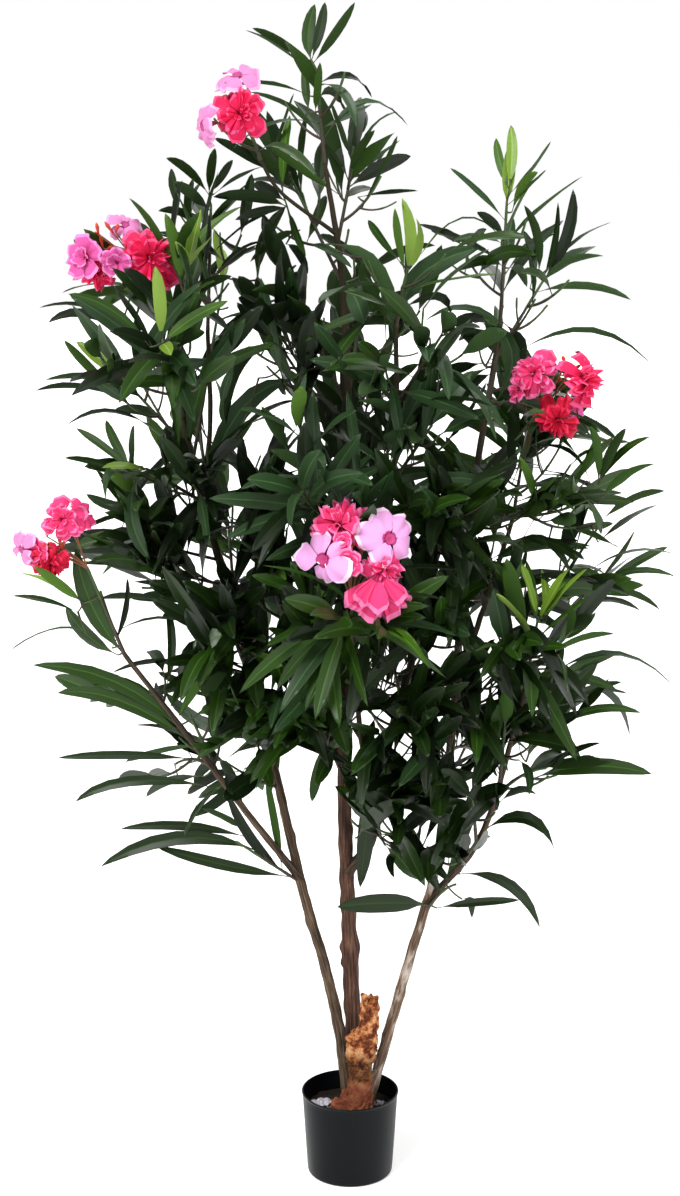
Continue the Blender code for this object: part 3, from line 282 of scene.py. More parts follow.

# Leaves listed where the crown's edge and its front show them one by one. Each is given on the
# view by its foot, its middle and its tip, in steps right and down, then its width there and its tone.
# A leaf of the grey tone is painted with sheen where it catches the light.
PLACED = {
    "spray_leader": (
        (310, 62, 308, 35, 315, 4, 13, "mid"), (313, 60, 320, 30, 325, 2, 10, "deep"),
        (317, 62, 335, 34, 355, 2, 9, "deep"), (305, 62, 280, 42, 252, 28, 8, "deep"),
        (309, 112, 306, 88, 304, 60, 8, "mid"), (315, 114, 318, 90, 320, 62, 7, "mid"),
        (306, 70, 278, 46, 245, 30, 3, "grey"), (310, 96, 262, 83, 214, 92, 4, "grey"),
        (322, 84, 349, 76, 372, 98, 8, "dark"), (324, 84, 346, 96, 357, 130, 9, "grey"),
        (322, 140, 365, 102, 408, 126, 8, "grey"), (318, 142, 292, 108, 250, 92, 6, "grey"),
        (315, 122, 270, 124, 232, 150, 4, "grey"), (340, 195, 300, 168, 265, 143, 8, "mid"),
        (318, 100, 332, 92, 352, 120, 6, "deep"), (318, 128, 345, 118, 372, 104, 4, "grey"),
    ),
    "spray_top_back": (
        (352, 170, 372, 128, 398, 112, 3, "grey"), (347, 188, 380, 167, 411, 156, 14, "dark"),
        (352, 178, 376, 158, 400, 140, 4, "grey"), (345, 198, 357, 190, 372, 188, 6, "deep"),
        (358, 197, 388, 193, 418, 191, 3, "dark"), (350, 175, 358, 152, 375, 130, 8, "deep"),
        (348, 160, 342, 130, 331, 102, 5, "deep"), (350, 165, 352, 140, 356, 116, 7, "deep"),
    ),
    "spray_top_left": (
        (288, 206, 250, 222, 214, 252, 4, "dark"), (262, 242, 240, 256, 216, 272, 3, "dark"),
        (291, 208, 296, 232, 306, 256, 6, "mid"), (286, 244, 298, 252, 308, 274, 8, "dark"),
        (308, 246, 328, 250, 352, 268, 5, "grey"), (284, 202, 268, 190, 254, 183, 12, "dark"),
        (272, 155, 284, 124, 294, 93, 3, "grey"), (306, 245, 318, 215, 326, 195, 10, "mid"),
        (290, 206, 254, 196, 213, 197, 12, "dark"), (268, 172, 242, 152, 214, 138, 9, "dark"),
        (288, 207, 262, 211, 235, 220, 8, "dark"), (285, 190, 275, 165, 262, 150, 7, "deep"),
        (300, 230, 275, 240, 250, 262, 8, "deep"), (257, 280, 264, 240, 286, 206, 12, "deep"),
        (216, 274, 238, 252, 264, 241, 4, "dark"),
    ),
    "spray_upper_left": (
        (209, 195, 211, 170, 215, 148, 9, "deep"), (213, 192, 222, 175, 233, 160, 7, "deep"),
        (205, 195, 188, 170, 166, 158, 9, "deep"), (208, 212, 192, 194, 174, 182, 11, "grey"),
        (205, 225, 190, 214, 174, 207, 3, "dark"), (205, 232, 184, 213, 158, 211, 8, "dark"),
        (214, 194, 240, 176, 262, 167, 4, "grey"), (212, 225, 235, 250, 262, 245, 6, "dark"),
    ),
    "spray_young_left": (
        (180, 288, 176, 248, 165, 213, 12, "fresh"), (178, 285, 156, 232, 129, 198, 7, "mid"),
        (181, 288, 200, 238, 243, 206, 8, "fresh"), (180, 300, 205, 285, 232, 276, 10, "deep"),
    ),
    "spray_high_left": (
        (156, 342, 160, 303, 155, 266, 13, "young"), (150, 347, 112, 310, 68, 294, 10, "mid"),
        (162, 345, 190, 320, 228, 301, 12, "fresh"), (152, 345, 136, 318, 112, 284, 6, "dark"),
        (165, 352, 182, 338, 205, 332, 14, "deep"), (160, 330, 142, 302, 122, 282, 11, "dark"),
        (150, 310, 135, 288, 112, 268, 10, "deep"),
    ),
    "spray_far_left": (
        (118, 395, 88, 366, 64, 340, 9, "mid"), (120, 400, 78, 386, 35, 391, 6, "dark"),
        (126, 384, 86, 376, 45, 380, 6, "grey"), (150, 426, 106, 411, 66, 426, 6, "dark"),
        (130, 335, 84, 313, 48, 323, 9, "dark"), (122, 322, 80, 305, 39, 308, 5, "dark"),
        (132, 289, 96, 284, 62, 293, 3, "deep"),
    ),
    "spray_mid_left": (
        (132, 470, 104, 447, 76, 428, 8, "mid"), (130, 470, 116, 444, 106, 420, 10, "mid"),
        (136, 480, 100, 464, 64, 458, 6, "deep"), (133, 470, 131, 448, 134, 425, 3, "deep"),
        (142, 508, 113, 506, 86, 494, 11, "deep"), (134, 477, 112, 470, 106, 502, 11, "grey"),
        (136, 480, 132, 520, 150, 560, 15, "grey"), (160, 515, 108, 518, 62, 546, 5, "grey"),
        (182, 590, 140, 562, 90, 562, 16, "mid"),
    ),
    "flowers_low_left": (
        (121, 656, 92, 606, 76, 548, 20, "mid"), (118, 655, 86, 634, 66, 606, 14, "mid"),
        (84, 603, 60, 585, 34, 566, 10, "fresh"), (78, 598, 50, 582, 20, 573, 5, "young"),
        (78, 612, 46, 601, 12, 596, 4, "grey"), (86, 632, 50, 630, 10, 651, 4, "grey"),
        (112, 648, 126, 612, 127, 578, 5, "dark"),
    ),
    "spray_low_left": (
        (190, 738, 118, 683, 32, 665, 15, "mid"), (195, 745, 122, 701, 57, 693, 15, "mid"),
        (214, 642, 190, 652, 182, 690, 15, "dark"), (208, 632, 160, 618, 112, 634, 5, "grey"),
        (188, 660, 150, 662, 112, 673, 4, "dark"), (170, 690, 172, 645, 166, 602, 9, "deep"),
        (212, 700, 182, 684, 158, 672, 9, "deep"), (172, 602, 133, 596, 100, 599, 6, "dark"),
    ),
    "skirt_left": (
        (195, 762, 125, 755, 57, 758, 9, "deep"), (216, 788, 132, 781, 75, 802, 11, "deep"),
        (205, 776, 168, 781, 146, 797, 9, "deep"), (202, 745, 160, 751, 125, 762, 5, "grey"),
    ),
    "foot_left": (
        (245, 768, 224, 796, 190, 817, 12, "dark"), (252, 836, 185, 826, 120, 829, 10, "deep"),
        (262, 853, 180, 838, 100, 867, 15, "deep"), (290, 880, 220, 864, 155, 846, 12, "deep"),
        (286, 873, 252, 840, 226, 790, 11, "dark"), (284, 870, 274, 822, 266, 775, 8, "mid"),
    ),
    "spray_young_inner": (
        (405, 276, 398, 238, 395, 208, 8, "fresh"), (407, 278, 411, 238, 402, 198, 12, "young"),
        (410, 276, 419, 244, 416, 218, 8, "young"),
        (400, 262, 381, 238, 368, 220, 7, "mid"), (404, 312, 436, 296, 451, 314, 8, "dark"),
        (402, 318, 424, 272, 480, 248, 22, "grey"), (396, 330, 370, 290, 362, 262, 12, "deep"),
        (326, 244, 378, 270, 394, 346, 15, "grey"), (346, 282, 358, 304, 364, 324, 20, "grey"),
    ),
    "spray_top_right": (
        (509, 190, 512, 155, 511, 125, 11, "young"), (508, 190, 500, 162, 496, 138, 9, "fresh"),
        (512, 212, 523, 185, 538, 172, 9, "fresh"), (511, 196, 533, 168, 551, 141, 3, "grey"),
        (511, 206, 530, 186, 546, 170, 3, "grey"), (507, 222, 478, 192, 450, 168, 5, "grey"),
        (507, 236, 492, 222, 477, 212, 9, "dark"), (507, 244, 464, 218, 420, 256, 5, "fresh"),
        (506, 264, 462, 240, 418, 224, 6, "dark"), (509, 248, 534, 214, 583, 176, 4, "grey"),
        (509, 264, 534, 242, 557, 224, 7, "deep"), (508, 268, 484, 260, 456, 271, 10, "deep"),
        (509, 268, 520, 270, 527, 287, 8, "deep"), (507, 246, 480, 236, 452, 242, 4, "grey"),
    ),
    "spray_shoulder_right": (
        (530, 288, 533, 258, 523, 230, 9, "deep"), (538, 276, 538, 238, 524, 205, 9, "deep"),
        (541, 280, 555, 246, 558, 202, 7, "deep"), (545, 278, 567, 236, 573, 189, 12, "dark"),
        (550, 266, 580, 238, 612, 222, 4, "grey"), (545, 285, 568, 262, 604, 256, 8, "grey"),
        (538, 293, 586, 286, 631, 300, 8, "grey"), (515, 354, 590, 330, 654, 368, 7, "grey"),
        (503, 322, 520, 348, 505, 372, 15, "dark"), (508, 332, 468, 308, 424, 322, 8, "grey"),
        (496, 402, 512, 352, 482, 318, 16, "grey"),
    ),
    "flowers_right": (
        (508, 412, 548, 393, 598, 412, 7, "grey"), (515, 440, 556, 412, 610, 436, 7, "grey"),
    ),
    "spray_mid_right": (
        (512, 541, 548, 542, 571, 577, 9, "deep"), (524, 537, 552, 509, 578, 548, 4, "mid"),
        (546, 547, 562, 543, 578, 541, 3, "dark"), (555, 546, 570, 552, 584, 560, 4, "grey"),
        (600, 522, 632, 499, 665, 491, 7, "deep"), (598, 504, 624, 476, 655, 464, 8, "mid"),
        (598, 486, 620, 454, 650, 437, 7, "mid"), (602, 484, 610, 454, 626, 428, 10, "deep"),
        (599, 482, 598, 450, 590, 426, 9, "mid"), (598, 542, 630, 518, 658, 505, 6, "deep"),
        (588, 488, 570, 452, 534, 447, 4, "dark"), (592, 500, 560, 480, 530, 488, 7, "deep"),
        (532, 500, 530, 480, 519, 456, 9, "fresh"), (520, 544, 556, 544, 576, 562, 10, "deep"),
        (514, 580, 560, 576, 600, 583, 6, "dark"),
    ),
    "spray_far_right": (
        (592, 592, 632, 571, 676, 577, 8, "mid"), (598, 588, 636, 562, 668, 547, 9, "mid"),
        (590, 598, 626, 592, 660, 610, 6, "deep"), (588, 604, 614, 600, 641, 611, 6, "deep"),
        (588, 572, 630, 552, 675, 554, 3, "grey"), (594, 584, 620, 557, 635, 530, 5, "deep"),
    ),
    "spray_young_right": (
        (541, 626, 533, 594, 526, 560, 10, "fresh"), (545, 623, 558, 592, 576, 574, 11, "fresh"),
        (543, 625, 546, 596, 541, 568, 8, "young"), (546, 640, 574, 632, 596, 612, 8, "mid"),
    ),
    "spray_low_right": (
        (556, 674, 618, 654, 677, 690, 8, "grey"), (546, 657, 580, 639, 615, 634, 7, "mid"),
        (545, 688, 582, 665, 620, 652, 12, "mid"), (545, 715, 584, 692, 622, 682, 9, "deep"),
        (549, 726, 596, 709, 641, 713, 9, "mid"), (592, 690, 616, 700, 630, 736, 7, "deep"),
        (526, 762, 552, 712, 599, 661, 24, "deep"), (522, 706, 492, 668, 463, 632, 14, "grey"),
    ),
    "skirt_right": (
        (533, 780, 590, 766, 652, 774, 17, "mid"), (540, 768, 570, 753, 601, 743, 5, "deep"),
        (480, 828, 526, 818, 555, 851, 14, "deep"), (500, 802, 520, 790, 538, 796, 7, "dark"),
        (519, 760, 529, 774, 529, 795, 9, "grey"),
    ),
    "foot_right": (
        (460, 874, 510, 885, 540, 928, 12, "deep"), (437, 908, 478, 902, 520, 900, 9, "deep"),
        (462, 899, 471, 902, 472, 918, 9, "dark"),
    ),
    "foot_front": (
        (434, 907, 385, 903, 337, 907, 20, "deep"), (402, 848, 390, 860, 394, 878, 9, "dark"),
    ),
    "skirt_front": (
        (372, 766, 367, 826, 360, 888, 18, "deep"), (330, 735, 318, 772, 312, 802, 12, "deep"),
        (450, 812, 461, 850, 446, 882, 18, "deep"),
    ),
    "spray_front_right": (
        (500, 490, 450, 478, 402, 500, 13, "grey"),
    ),
    "spray_star_front": (
        (330, 505, 296, 498, 255, 504, 14, "grey"), (350, 500, 392, 478, 446, 472, 16, "deep"),
        (336, 496, 305, 466, 270, 450, 14, "grey"),
    ),
    "spray_inner_left_high": (
        (304, 380, 242, 408, 204, 498, 20, "grey"), (264, 350, 236, 372, 226, 424, 10, "dark"),
        (236, 362, 226, 384, 222, 404, 9, "grey"), (208, 362, 197, 400, 188, 442, 12, "mid"),
        (238, 432, 268, 410, 298, 400, 6, "dark"),
    ),
    "spray_front_high": (
        (470, 320, 446, 344, 424, 378, 12, "deep"), (430, 338, 428, 370, 418, 402, 22, "dark"),
    ),
    "skirt_front_left": (
        (240, 734, 200, 722, 165, 692, 14, "grey"), (264, 768, 243, 785, 222, 800, 22, "dark"),
    ),
}

# The sprays whose topmost whorls are light-green young leaves, and how many whorls.
YOUNG = {
    "spray_young_left": 2, "spray_young_inner": 2, "spray_top_right": 2, "spray_young_right": 2,
    "spray_high_left": 1, "spray_far_left": 1, "spray_mid_left": 1, "spray_back_high_left": 1,
    "spray_back_right": 1, "spray_back_mid": 1,
}

# The pieces that the leaves are joined into, each with the sprays that it holds.
LEAF_PIECES = {
    "leaves_top": ("spray_leader", "spray_top_back", "spray_top_left", "flowers_top",
                   "spray_upper_left"),
    "leaves_left": ("flowers_high_left", "spray_young_left", "spray_high_left", "spray_far_left",
                    "spray_mid_left", "flowers_low_left", "spray_low_left", "skirt_left", "foot_left"),
    "leaves_inside": ("spray_inner_left_high", "spray_inner_left", "spray_young_inner"),
    "leaves_right": ("spray_top_right", "spray_shoulder_right", "flowers_right", "spray_mid_right",
                     "spray_far_right", "spray_young_right", "spray_low_right", "skirt_right",
                     "foot_right"),
    "leaves_front": ("foot_front", "flowers_centre", "spray_star_front", "spray_front_right",
                     "spray_front_high", "spray_front_left", "skirt_front", "skirt_front_left"),
    "leaves_back": ("spray_back_high", "spray_back_high_left", "spray_back_high_right",
                    "spray_back_left", "spray_back_mid", "spray_back_right", "skirt_back_left",
                    "skirt_back", "skirt_back_right"),
}

# The clusters of blossom. First where the buds stand, then each bloom: its place on the view (steps
# right and down, then how far behind the trunk), the way that it faces (degrees from the front
# toward the right, degrees up), its radius, kind and tone.
CLUSTERS = {
    "flowers_top": (
        (238, 98, -0.080),
        (((236, 72, -0.088), -8, 52, 0.031, "open", "lilac"),
         ((240, 113, -0.104), 5, 6, 0.037, "double", "hot"),
         ((200, 127, -0.094), -54, -14, 0.030, "open", "lilac")),
    ),
    "flowers_high_left": (
        (108, 240, -0.010),
        (((84, 257, -0.034), -38, 6, 0.030, "cup", "mid"),
         ((95, 275, -0.024), -16, -30, 0.029, "double", "hot"),
         ((125, 223, -0.014), 12, 34, 0.024, "open", "lilac"),
         ((151, 258, -0.044), 16, 4, 0.044, "double", "hot"),
         ((116, 262, -0.048), -8, -8, 0.023, "cup", "mid")),
    ),
    "flowers_right": (
        (561, 372, -0.055),
        (((533, 373, -0.090), -18, 12, 0.036, "double", "rose"),
         ((589, 381, -0.080), 50, 4, 0.039, "double", "hot"),
         ((557, 422, -0.080), 0, -26, 0.032, "double", "red"),
         ((578, 409, -0.060), 45, 0, 0.016, "open", "mid"),
         ((518, 389, -0.078), -62, 12, 0.021, "cup", "rose")),
    ),
    "flowers_low_left": (
        (52, 546, -0.108),
        (((61, 519, -0.134), -6, 10, 0.030, "double", "rose"),
         ((85, 514, -0.122), 50, 14, 0.022, "open", "rose"),
         ((19, 550, -0.120), -48, 4, 0.025, "open", "lilac"),
         ((37, 553, -0.122), -30, 4, 0.021, "cup", "rose"),
         ((50, 566, -0.128), 2, -22, 0.027, "double", "red")),
    ),
    "flowers_centre": (
        (356, 546, -0.272),
        (((321, 560, -0.300), -26, 4, 0.036, "open", "pale"),
         ((392, 539, -0.286), 26, 6, 0.038, "open", "pale"),
         ((339, 521, -0.274), -8, 44, 0.044, "double", "rose"),
         ((387, 570, -0.284), 24, -4, 0.030, "double", "rose"),
         ((380, 600, -0.304), 8, -14, 0.047, "fan", "rose"),
         ((348, 562, -0.300), 4, -4, 0.020, "cup", "rose"),
         ((343, 542, -0.296), -20, 20, 0.014, "cup", "rose")),
    ),
}

# Twigs and leaves, as in the part's source.
MAIN_RADIUS = (0.0030, 0.0019)
SIDE_RADIUS = (0.0023, 0.0016)
TWIGLET_RADIUS = (0.0017, 0.0012)
SIDE_LENGTH = 0.52
SIDE_SHORTEST = 0.080
SIDE_FIRST = 0.18
SIDE_LAST = 0.78
TAPER_POWER = 0.85
WHORL = 3
NODE_SPACING = 0.034
BARE = 0.22
LOW_ANGLE = 66.0
TOP_ANGLE = 21.0
STAGGER = 0.0040
HANG = 0.070
SHORTER = (1.0, 0.82, 0.66)
LEAF_TRIES = ((1.0, 0.0), (1.0, 0.5), (1.0, -0.5), (0.82, 0.0), (0.82, 1.0), (0.82, -1.0), (0.66, 0.0))

# Each twig's whorls are turned from the last one's by this.
TWIG_TURN = 0.9
# How leaves differ from one another, each drawn at random: turn about the twig, angle from it in
# degrees, droop, sideways bend, length, width, fold and twist. The listed ones differ less.
TURN_DRIFT = 0.25
ANGLE_DRIFT = 9.0
DROOPS = (0.35, 1.5)
SIDEWAYS = 0.10
LENGTHS = (0.82, 1.16)
WIDTHS = (0.80, 1.05)
FOLDS = (0.10, 0.42)
TWIST = 0.45
PLACED_FOLDS = (0.10, 0.30)
PLACED_TWIST = 0.15

# How the rule closes leaves toward the tip: how fast, and what tip leaves lose of length and droop.
CLOSING = 1.8
TIP_SHORTER = 0.40
TIP_STIFFER = 0.45
# A leaf falls outward and down by these shares, and a young one sags and spreads less.
FALL_OUT = 0.45
FALL_DOWN = 0.85
YOUNG_SAG = 0.35
YOUNG_WIDTH = 0.80

# Leaves that stray from their spray's tone: up to which pick from 0 to 1 each tone goes, then up to
# which pick a leaf is fresh, and above which share of the twig.
# A leaf that strays to the grey tone is painted with sheen.
STRAYS = ((0.20, "dark"), (0.32, "mid"), (0.40, "grey"))
FRESH_PICK = 0.44
FRESH_RISE = 0.7

# A fork's middle and end, along its parent, out from it and up, against its reach. Then how far its
# turn drifts and its reach varies, and how its reach falls along the parent.
FORK_MIDDLE = (0.20, 0.42)
FORK_END = (0.60, 0.68, 0.18)
FORK_DRIFT = 0.4
FORK_VARIES = (0.85, 1.15)
FORK_FALL = (1.2, 0.6)

# What is finer here: how far a leaf may reach into the next spray's space, and its clearances.
OVERLAP = 0.025
LIMB_CLEARANCE = 0.007
LEAF_APART = 0.006
SIGHT = 0.11
SIGHT_RADIUS = 0.034
LEAF_SIGHT = 0.04
BOX_MARGIN = 0.018
TWIGLET_LEAST = 0.085
TWIGLET_SHARE = (0.35, 0.60)
TWIGLET_LENGTH = 0.62
LEAF_MARKS = np.array((0.25, 0.42, 0.60, 0.80, 1.0))
VIEW_MARKS = np.linspace(0.25, 1.0, 8)
SKY_MARGIN = 0.5

# Young leaves keep the view to them clear at these shares of their length.
YOUNG_SIGHTS = (0.3, 0.75)

# Listed leaves: how near a twig must be to carry one, in steps on the view, their whole length
# at the top of the crown and from so many steps down, the least width of a blade, in steps, how much
# of what the view foreshortens goes away from it, and how far a thin twig to one hangs through.
FOOT_REACH = 5.0
LEAF_SHORT = 0.105
LEAF_LONG = 0.150
LONG_FROM = 800.0
LEAF_BROAD = 9.0
DEPTH_SHARE = 0.8
HANG_THROUGH = 0.15

# Numbers that tell a spray's filling twigs, forks and the twigs to its listed leaves from its own side twigs.
FILLER_NUMBER = 20
TWIGLET_NUMBER = 200
PLACED_NUMBER = 1000

# A leaf's stations along its midrib, its half width there, and the points of its section: across
# from edge to edge over the top and back under the rib.
LEAF_STATIONS = (0.0, 0.08, 0.15, 0.25, 0.38, 0.52, 0.67, 0.81, 0.93)
LEAF_HALF = (0.095, 0.090, 0.28, 0.70, 0.94, 1.0, 0.96, 0.78, 0.42)
SECTION_ACROSS = (-1.0, -0.55, -0.085, 0.085, 0.55, 1.0, 0.0)
STALK_FACES = 2
BLADE, RIB, UNDERSIDE = range(3)
SECTION_PART = (BLADE, BLADE, RIB, BLADE, BLADE, UNDERSIDE, UNDERSIDE)

# Sockets of the colour mixing node, which have the same names as those for numbers.
MIX_A = 6
MIX_B = 7
MIX_RESULT = 2


def srgb(text):
    """A hex colour as linear red, green and blue."""
    values = [int(text[k:k + 2], 16) / 255.0 for k in (1, 3, 5)]
    return tuple(v / 12.92 if v <= 0.04045 else ((v + 0.055) / 1.055) ** 2.4 for v in values)


def unit(vectors):
    """Vectors at length one, along the last axis."""
    vectors = np.asarray(vectors, float)
    return vectors / np.linalg.norm(vectors, axis=-1, keepdims=True)


def smooth(stations, steps):
    """A Catmull-Rom curve through the stations, with this many steps from each to the next."""
    p = np.array(stations, float)
    p = np.vstack((2.0 * p[0] - p[1], p, 2.0 * p[-1] - p[-2]))
    a, b, c, d = (p[k:len(p) - 3 + k, None] for k in range(4))
    t = (np.arange(steps) / steps)[None, :, None]
    bend = (2.0 * a - 5.0 * b + 4.0 * c - d) * t * t + (3.0 * b - a - 3.0 * c + d) * t ** 3
    curve = 0.5 * (2.0 * b + (c - a) * t + bend)
    return np.vstack((curve.reshape(-1, 3), p[-2]))


def arch(start, middle, end, steps):
    """A quadratic Bezier curve, in this many steps."""
    t = np.linspace(0.0, 1.0, steps + 1)[:, None]
    return (1.0 - t) ** 2 * start + 2.0 * t * (1.0 - t) * middle + t * t * end


def length_of(path):
    """The length along a path."""
    return np.linalg.norm(np.diff(path, axis=0), axis=1).sum()


def marks_on(path):
    """How far along the path each of its points is."""
    return np.concatenate(([0.0], np.cumsum(np.linalg.norm(np.diff(path, axis=0), axis=1))))


def resample(path, count):
    """The path at evenly spaced points."""
    marks = marks_on(path)
    even = np.linspace(0.0, marks[-1], count)
    return np.stack([np.interp(even, marks, path[:, k]) for k in range(3)], axis=1)


def place_on(path, share):
    """The point at this share of the path's steps, and the path's direction there."""
    at = min(share, 0.999) * (len(path) - 1)
    first = int(at)
    step = path[first + 1] - path[first]
    return path[first] + step * (at - first), unit(step)


def height_on(path, height):
    """The share of the path's steps at which it reaches this height."""
    return float(np.interp(height, path[:, 2], np.linspace(0.0, 1.0, len(path))))


def across(direction, turn):
    """A unit vector across the direction, turned round it by this angle."""
    side = np.cross(direction, UP)
    if np.linalg.norm(side) < 0.15:
        side = np.cross(direction, (0.0, 1.0, 0.0))
    side = unit(side)
    return side * math.cos(turn) + np.cross(direction, side) * math.sin(turn)


def taper(count, first, last):
    """Radii that fall from the first to the last along a path of this many points."""
    return last + (first - last) * (1.0 - np.linspace(0.0, 1.0, count)) ** TAPER_POWER


def heading(azimuth, elevation):
    """A unit vector from degrees toward the right of the front, and degrees up."""
    a, e = math.radians(azimuth), math.radians(elevation)
    return np.array((math.sin(a) * math.cos(e), -math.cos(a) * math.cos(e), math.sin(e)))


def seen(right, down, away):
    """The point this far behind the trunk that the camera sees so many steps right and down."""
    x, z = (right - VIEW_WIDE / 2.0) / FOCAL, (VIEW_HIGH / 2.0 - down) / FOCAL
    ray = np.array((x, math.cos(PITCH) + z * math.sin(PITCH), z * math.cos(PITCH) - math.sin(PITCH)))
    return np.array(EYE) + ray * (away - EYE[1]) / ray[1]


def on_view(points):
    """How many steps right and down the camera sees each point: its place across over its depth."""
    offset = np.asarray(points) - EYE
    depth = offset[..., 1] * math.cos(PITCH) - offset[..., 2] * math.sin(PITCH)
    rise = offset[..., 1] * math.sin(PITCH) + offset[..., 2] * math.cos(PITCH)
    return np.stack((VIEW_WIDE / 2.0 + FOCAL * offset[..., 0] / depth,
                     VIEW_HIGH / 2.0 - FOCAL * rise / depth), axis=-1)


def inside(outline, points):
    """Whether each point on the view lies inside the outline: a ray to the right crosses it oddly."""
    start = np.array(outline, float)
    end = np.roll(start, -1, axis=0)
    x, y = points[:, :1], points[:, 1:]
    crosses = (start[:, 1] > y) != (end[:, 1] > y)
    rise = np.where(end[:, 1] == start[:, 1], 1.0, end[:, 1] - start[:, 1])
    at = start[:, 0] + (y - start[:, 1]) / rise * (end[:, 0] - start[:, 0])
    return (crosses & (x < at)).sum(axis=1) % 2 == 1


def in_outline(points):
    """Whether points on the view lie inside the crown's outline and in none of its openings."""
    middle, half = np.array(SKY, float)[:, :2], np.array(SKY, float)[:, 2:] + SKY_MARGIN
    opening = (((points[:, None] - middle) / half) ** 2).sum(axis=2) < 1.0
    return inside(OUTLINE, points).all() and not opening.any()


class Runs:
    """The straight runs of many paths, to measure distances from all at once."""

    def __init__(self, paths, radii=None):
        self.start = np.concatenate([path[:-1] for path in paths])
        self.step = np.concatenate([np.diff(path, axis=0) for path in paths])
        self.square = (self.step ** 2).sum(axis=1)
        owners = [np.full(len(path) - 1, k) for k, path in enumerate(paths)]
        self.owner = np.concatenate(owners)
        self.radii = None if radii is None else np.concatenate([r[:-1] for r in radii])

    def gaps(self, points):
        """Each point's distance from each run: the length of what is left across it."""
        away = points[:, None] - self.start
        t = np.clip((away * self.step).sum(axis=2) / self.square, 0.0, 1.0)
        gap = np.linalg.norm(away - t[..., None] * self.step, axis=2)
        return gap if self.radii is None else gap - self.radii


class Leaf(NamedTuple):
    """One leaf: where it is rooted, its first direction and its sag, its face, size, shape and tone."""

    root: np.ndarray
    ahead: np.ndarray
    sag: np.ndarray
    face: np.ndarray
    length: float
    width: float
    shape: tuple
    tone: str

    def midrib(self, share):
        """Points on the midrib: a straight run plus a sag that grows with the square of the way."""
        share = np.atleast_1d(share)[:, None]
        return self.root + self.length * (share * self.ahead + 0.5 * share ** 2 * self.sag)


def mixed_tone(tone, rise, pick):
    """The tone of one leaf in a spray that is mostly of this tone, by a number from 0 to 1."""
    for most, stray in STRAYS:
        if pick < most:
            return stray
    return "fresh" if pick < FRESH_PICK and rise > FRESH_RISE else tone


def ruled_leaf(name, number, twig, nodes, node, place, shorter, swing, size):
    """The leaf that the part's own rule puts at this place of a whorl, counted from the twig's tip."""
    length, width, droop = size
    draw = random.Random(f"{name} {number} {node} {place}")
    rise = 1.0 - node / nodes
    root, ahead = place_on(twig, BARE + (1.0 - BARE) * rise)
    turn = node * math.pi / WHORL + place * TURN / WHORL + number * TWIG_TURN
    out = across(ahead, turn + swing + draw.uniform(-TURN_DRIFT, TURN_DRIFT))
    angle = LOW_ANGLE + (TOP_ANGLE - LOW_ANGLE) * rise ** CLOSING
    angle = math.radians(angle + draw.uniform(-ANGLE_DRIFT, ANGLE_DRIFT))
    first = unit(ahead * math.cos(angle) + out * math.sin(angle))
    young = number == 0 and node < YOUNG.get(name, 0)
    fall = out * FALL_OUT - UP * FALL_DOWN
    fall = (fall - first * fall.dot(first)) * droop * draw.uniform(*DROOPS) * (1.0 - TIP_STIFFER * rise)
    face = unit(ahead - first * ahead.dot(first))
    sag = fall + np.cross(face, first) * draw.gauss(0.0, SIDEWAYS)
    broad = length * width * draw.uniform(*WIDTHS) * min(1.0, 0.75 + 0.3 * shorter)
    shape = (draw.uniform(*FOLDS), draw.gauss(0.0, TWIST), draw.uniform(0.0, TURN))
    pick = draw.random()
    if young:
        tone = "young" if node == 0 or pick < 0.5 else "fresh"
    else:
        tone = mixed_tone(SPRAYS[name][5], rise, pick)
    return Leaf(root - ahead * STAGGER * place, first, sag * (YOUNG_SAG if young else 1.0), face,
                length * (1.0 - TIP_SHORTER * rise ** 3) * draw.uniform(*LENGTHS) * shorter,
                broad * (YOUNG_WIDTH if young else 0.5 + 0.5 * shorter), shape, tone)


def placed_leaf(foot, row, draw):
    """A leaf laid out on the view from its foot, through its middle, to its tip.

    With foot F, middle M and tip T, its first direction is 4 (M - F) - (T - F) and its sag is twice
    what then lacks to T. What the view foreshortens of its length goes away from the camera or
    toward it, and it is turned about its midrib until the camera sees the width asked for.
    """
    right, down, tip_right, tip_down, wide, tone = row[2:]
    step = (foot[1] - EYE[1]) / FOCAL
    flat = math.dist(row[:2], (right, down)) + math.dist((right, down), (tip_right, tip_down))
    whole = LEAF_SHORT + (LEAF_LONG - LEAF_SHORT) * min(1.0, down / LONG_FROM)
    hidden = math.sqrt(max(0.0, whole ** 2 - (flat * step) ** 2))
    deep = hidden * draw.choice((-DEPTH_SHARE, DEPTH_SHARE))
    tip = seen(tip_right, tip_down, foot[1] + deep)
    middle = seen(right, down, foot[1] + 0.5 * deep)
    first = 4.0 * (middle - foot) - (tip - foot)
    sag = 2.0 * (tip - foot - first)
    length = np.linalg.norm(first)
    first = first / length
    broad = max(wide, LEAF_BROAD) * step
    turn = math.acos(min(1.0, wide * step / broad))
    sight = unit(middle - EYE)
    side = unit(np.cross(tip - foot, sight))
    side = side * math.cos(turn) + sight * math.sin(turn) * draw.choice((-1.0, 1.0))
    side = unit(side - first * side.dot(first))
    face = np.cross(first, side)
    if face[2] < 0.0:
        face = -face
    shape = (draw.uniform(*PLACED_FOLDS), draw.gauss(0.0, PLACED_TWIST), draw.uniform(0.0, TURN))
    return Leaf(foot, first, sag / length, face, length, broad, shape, tone)


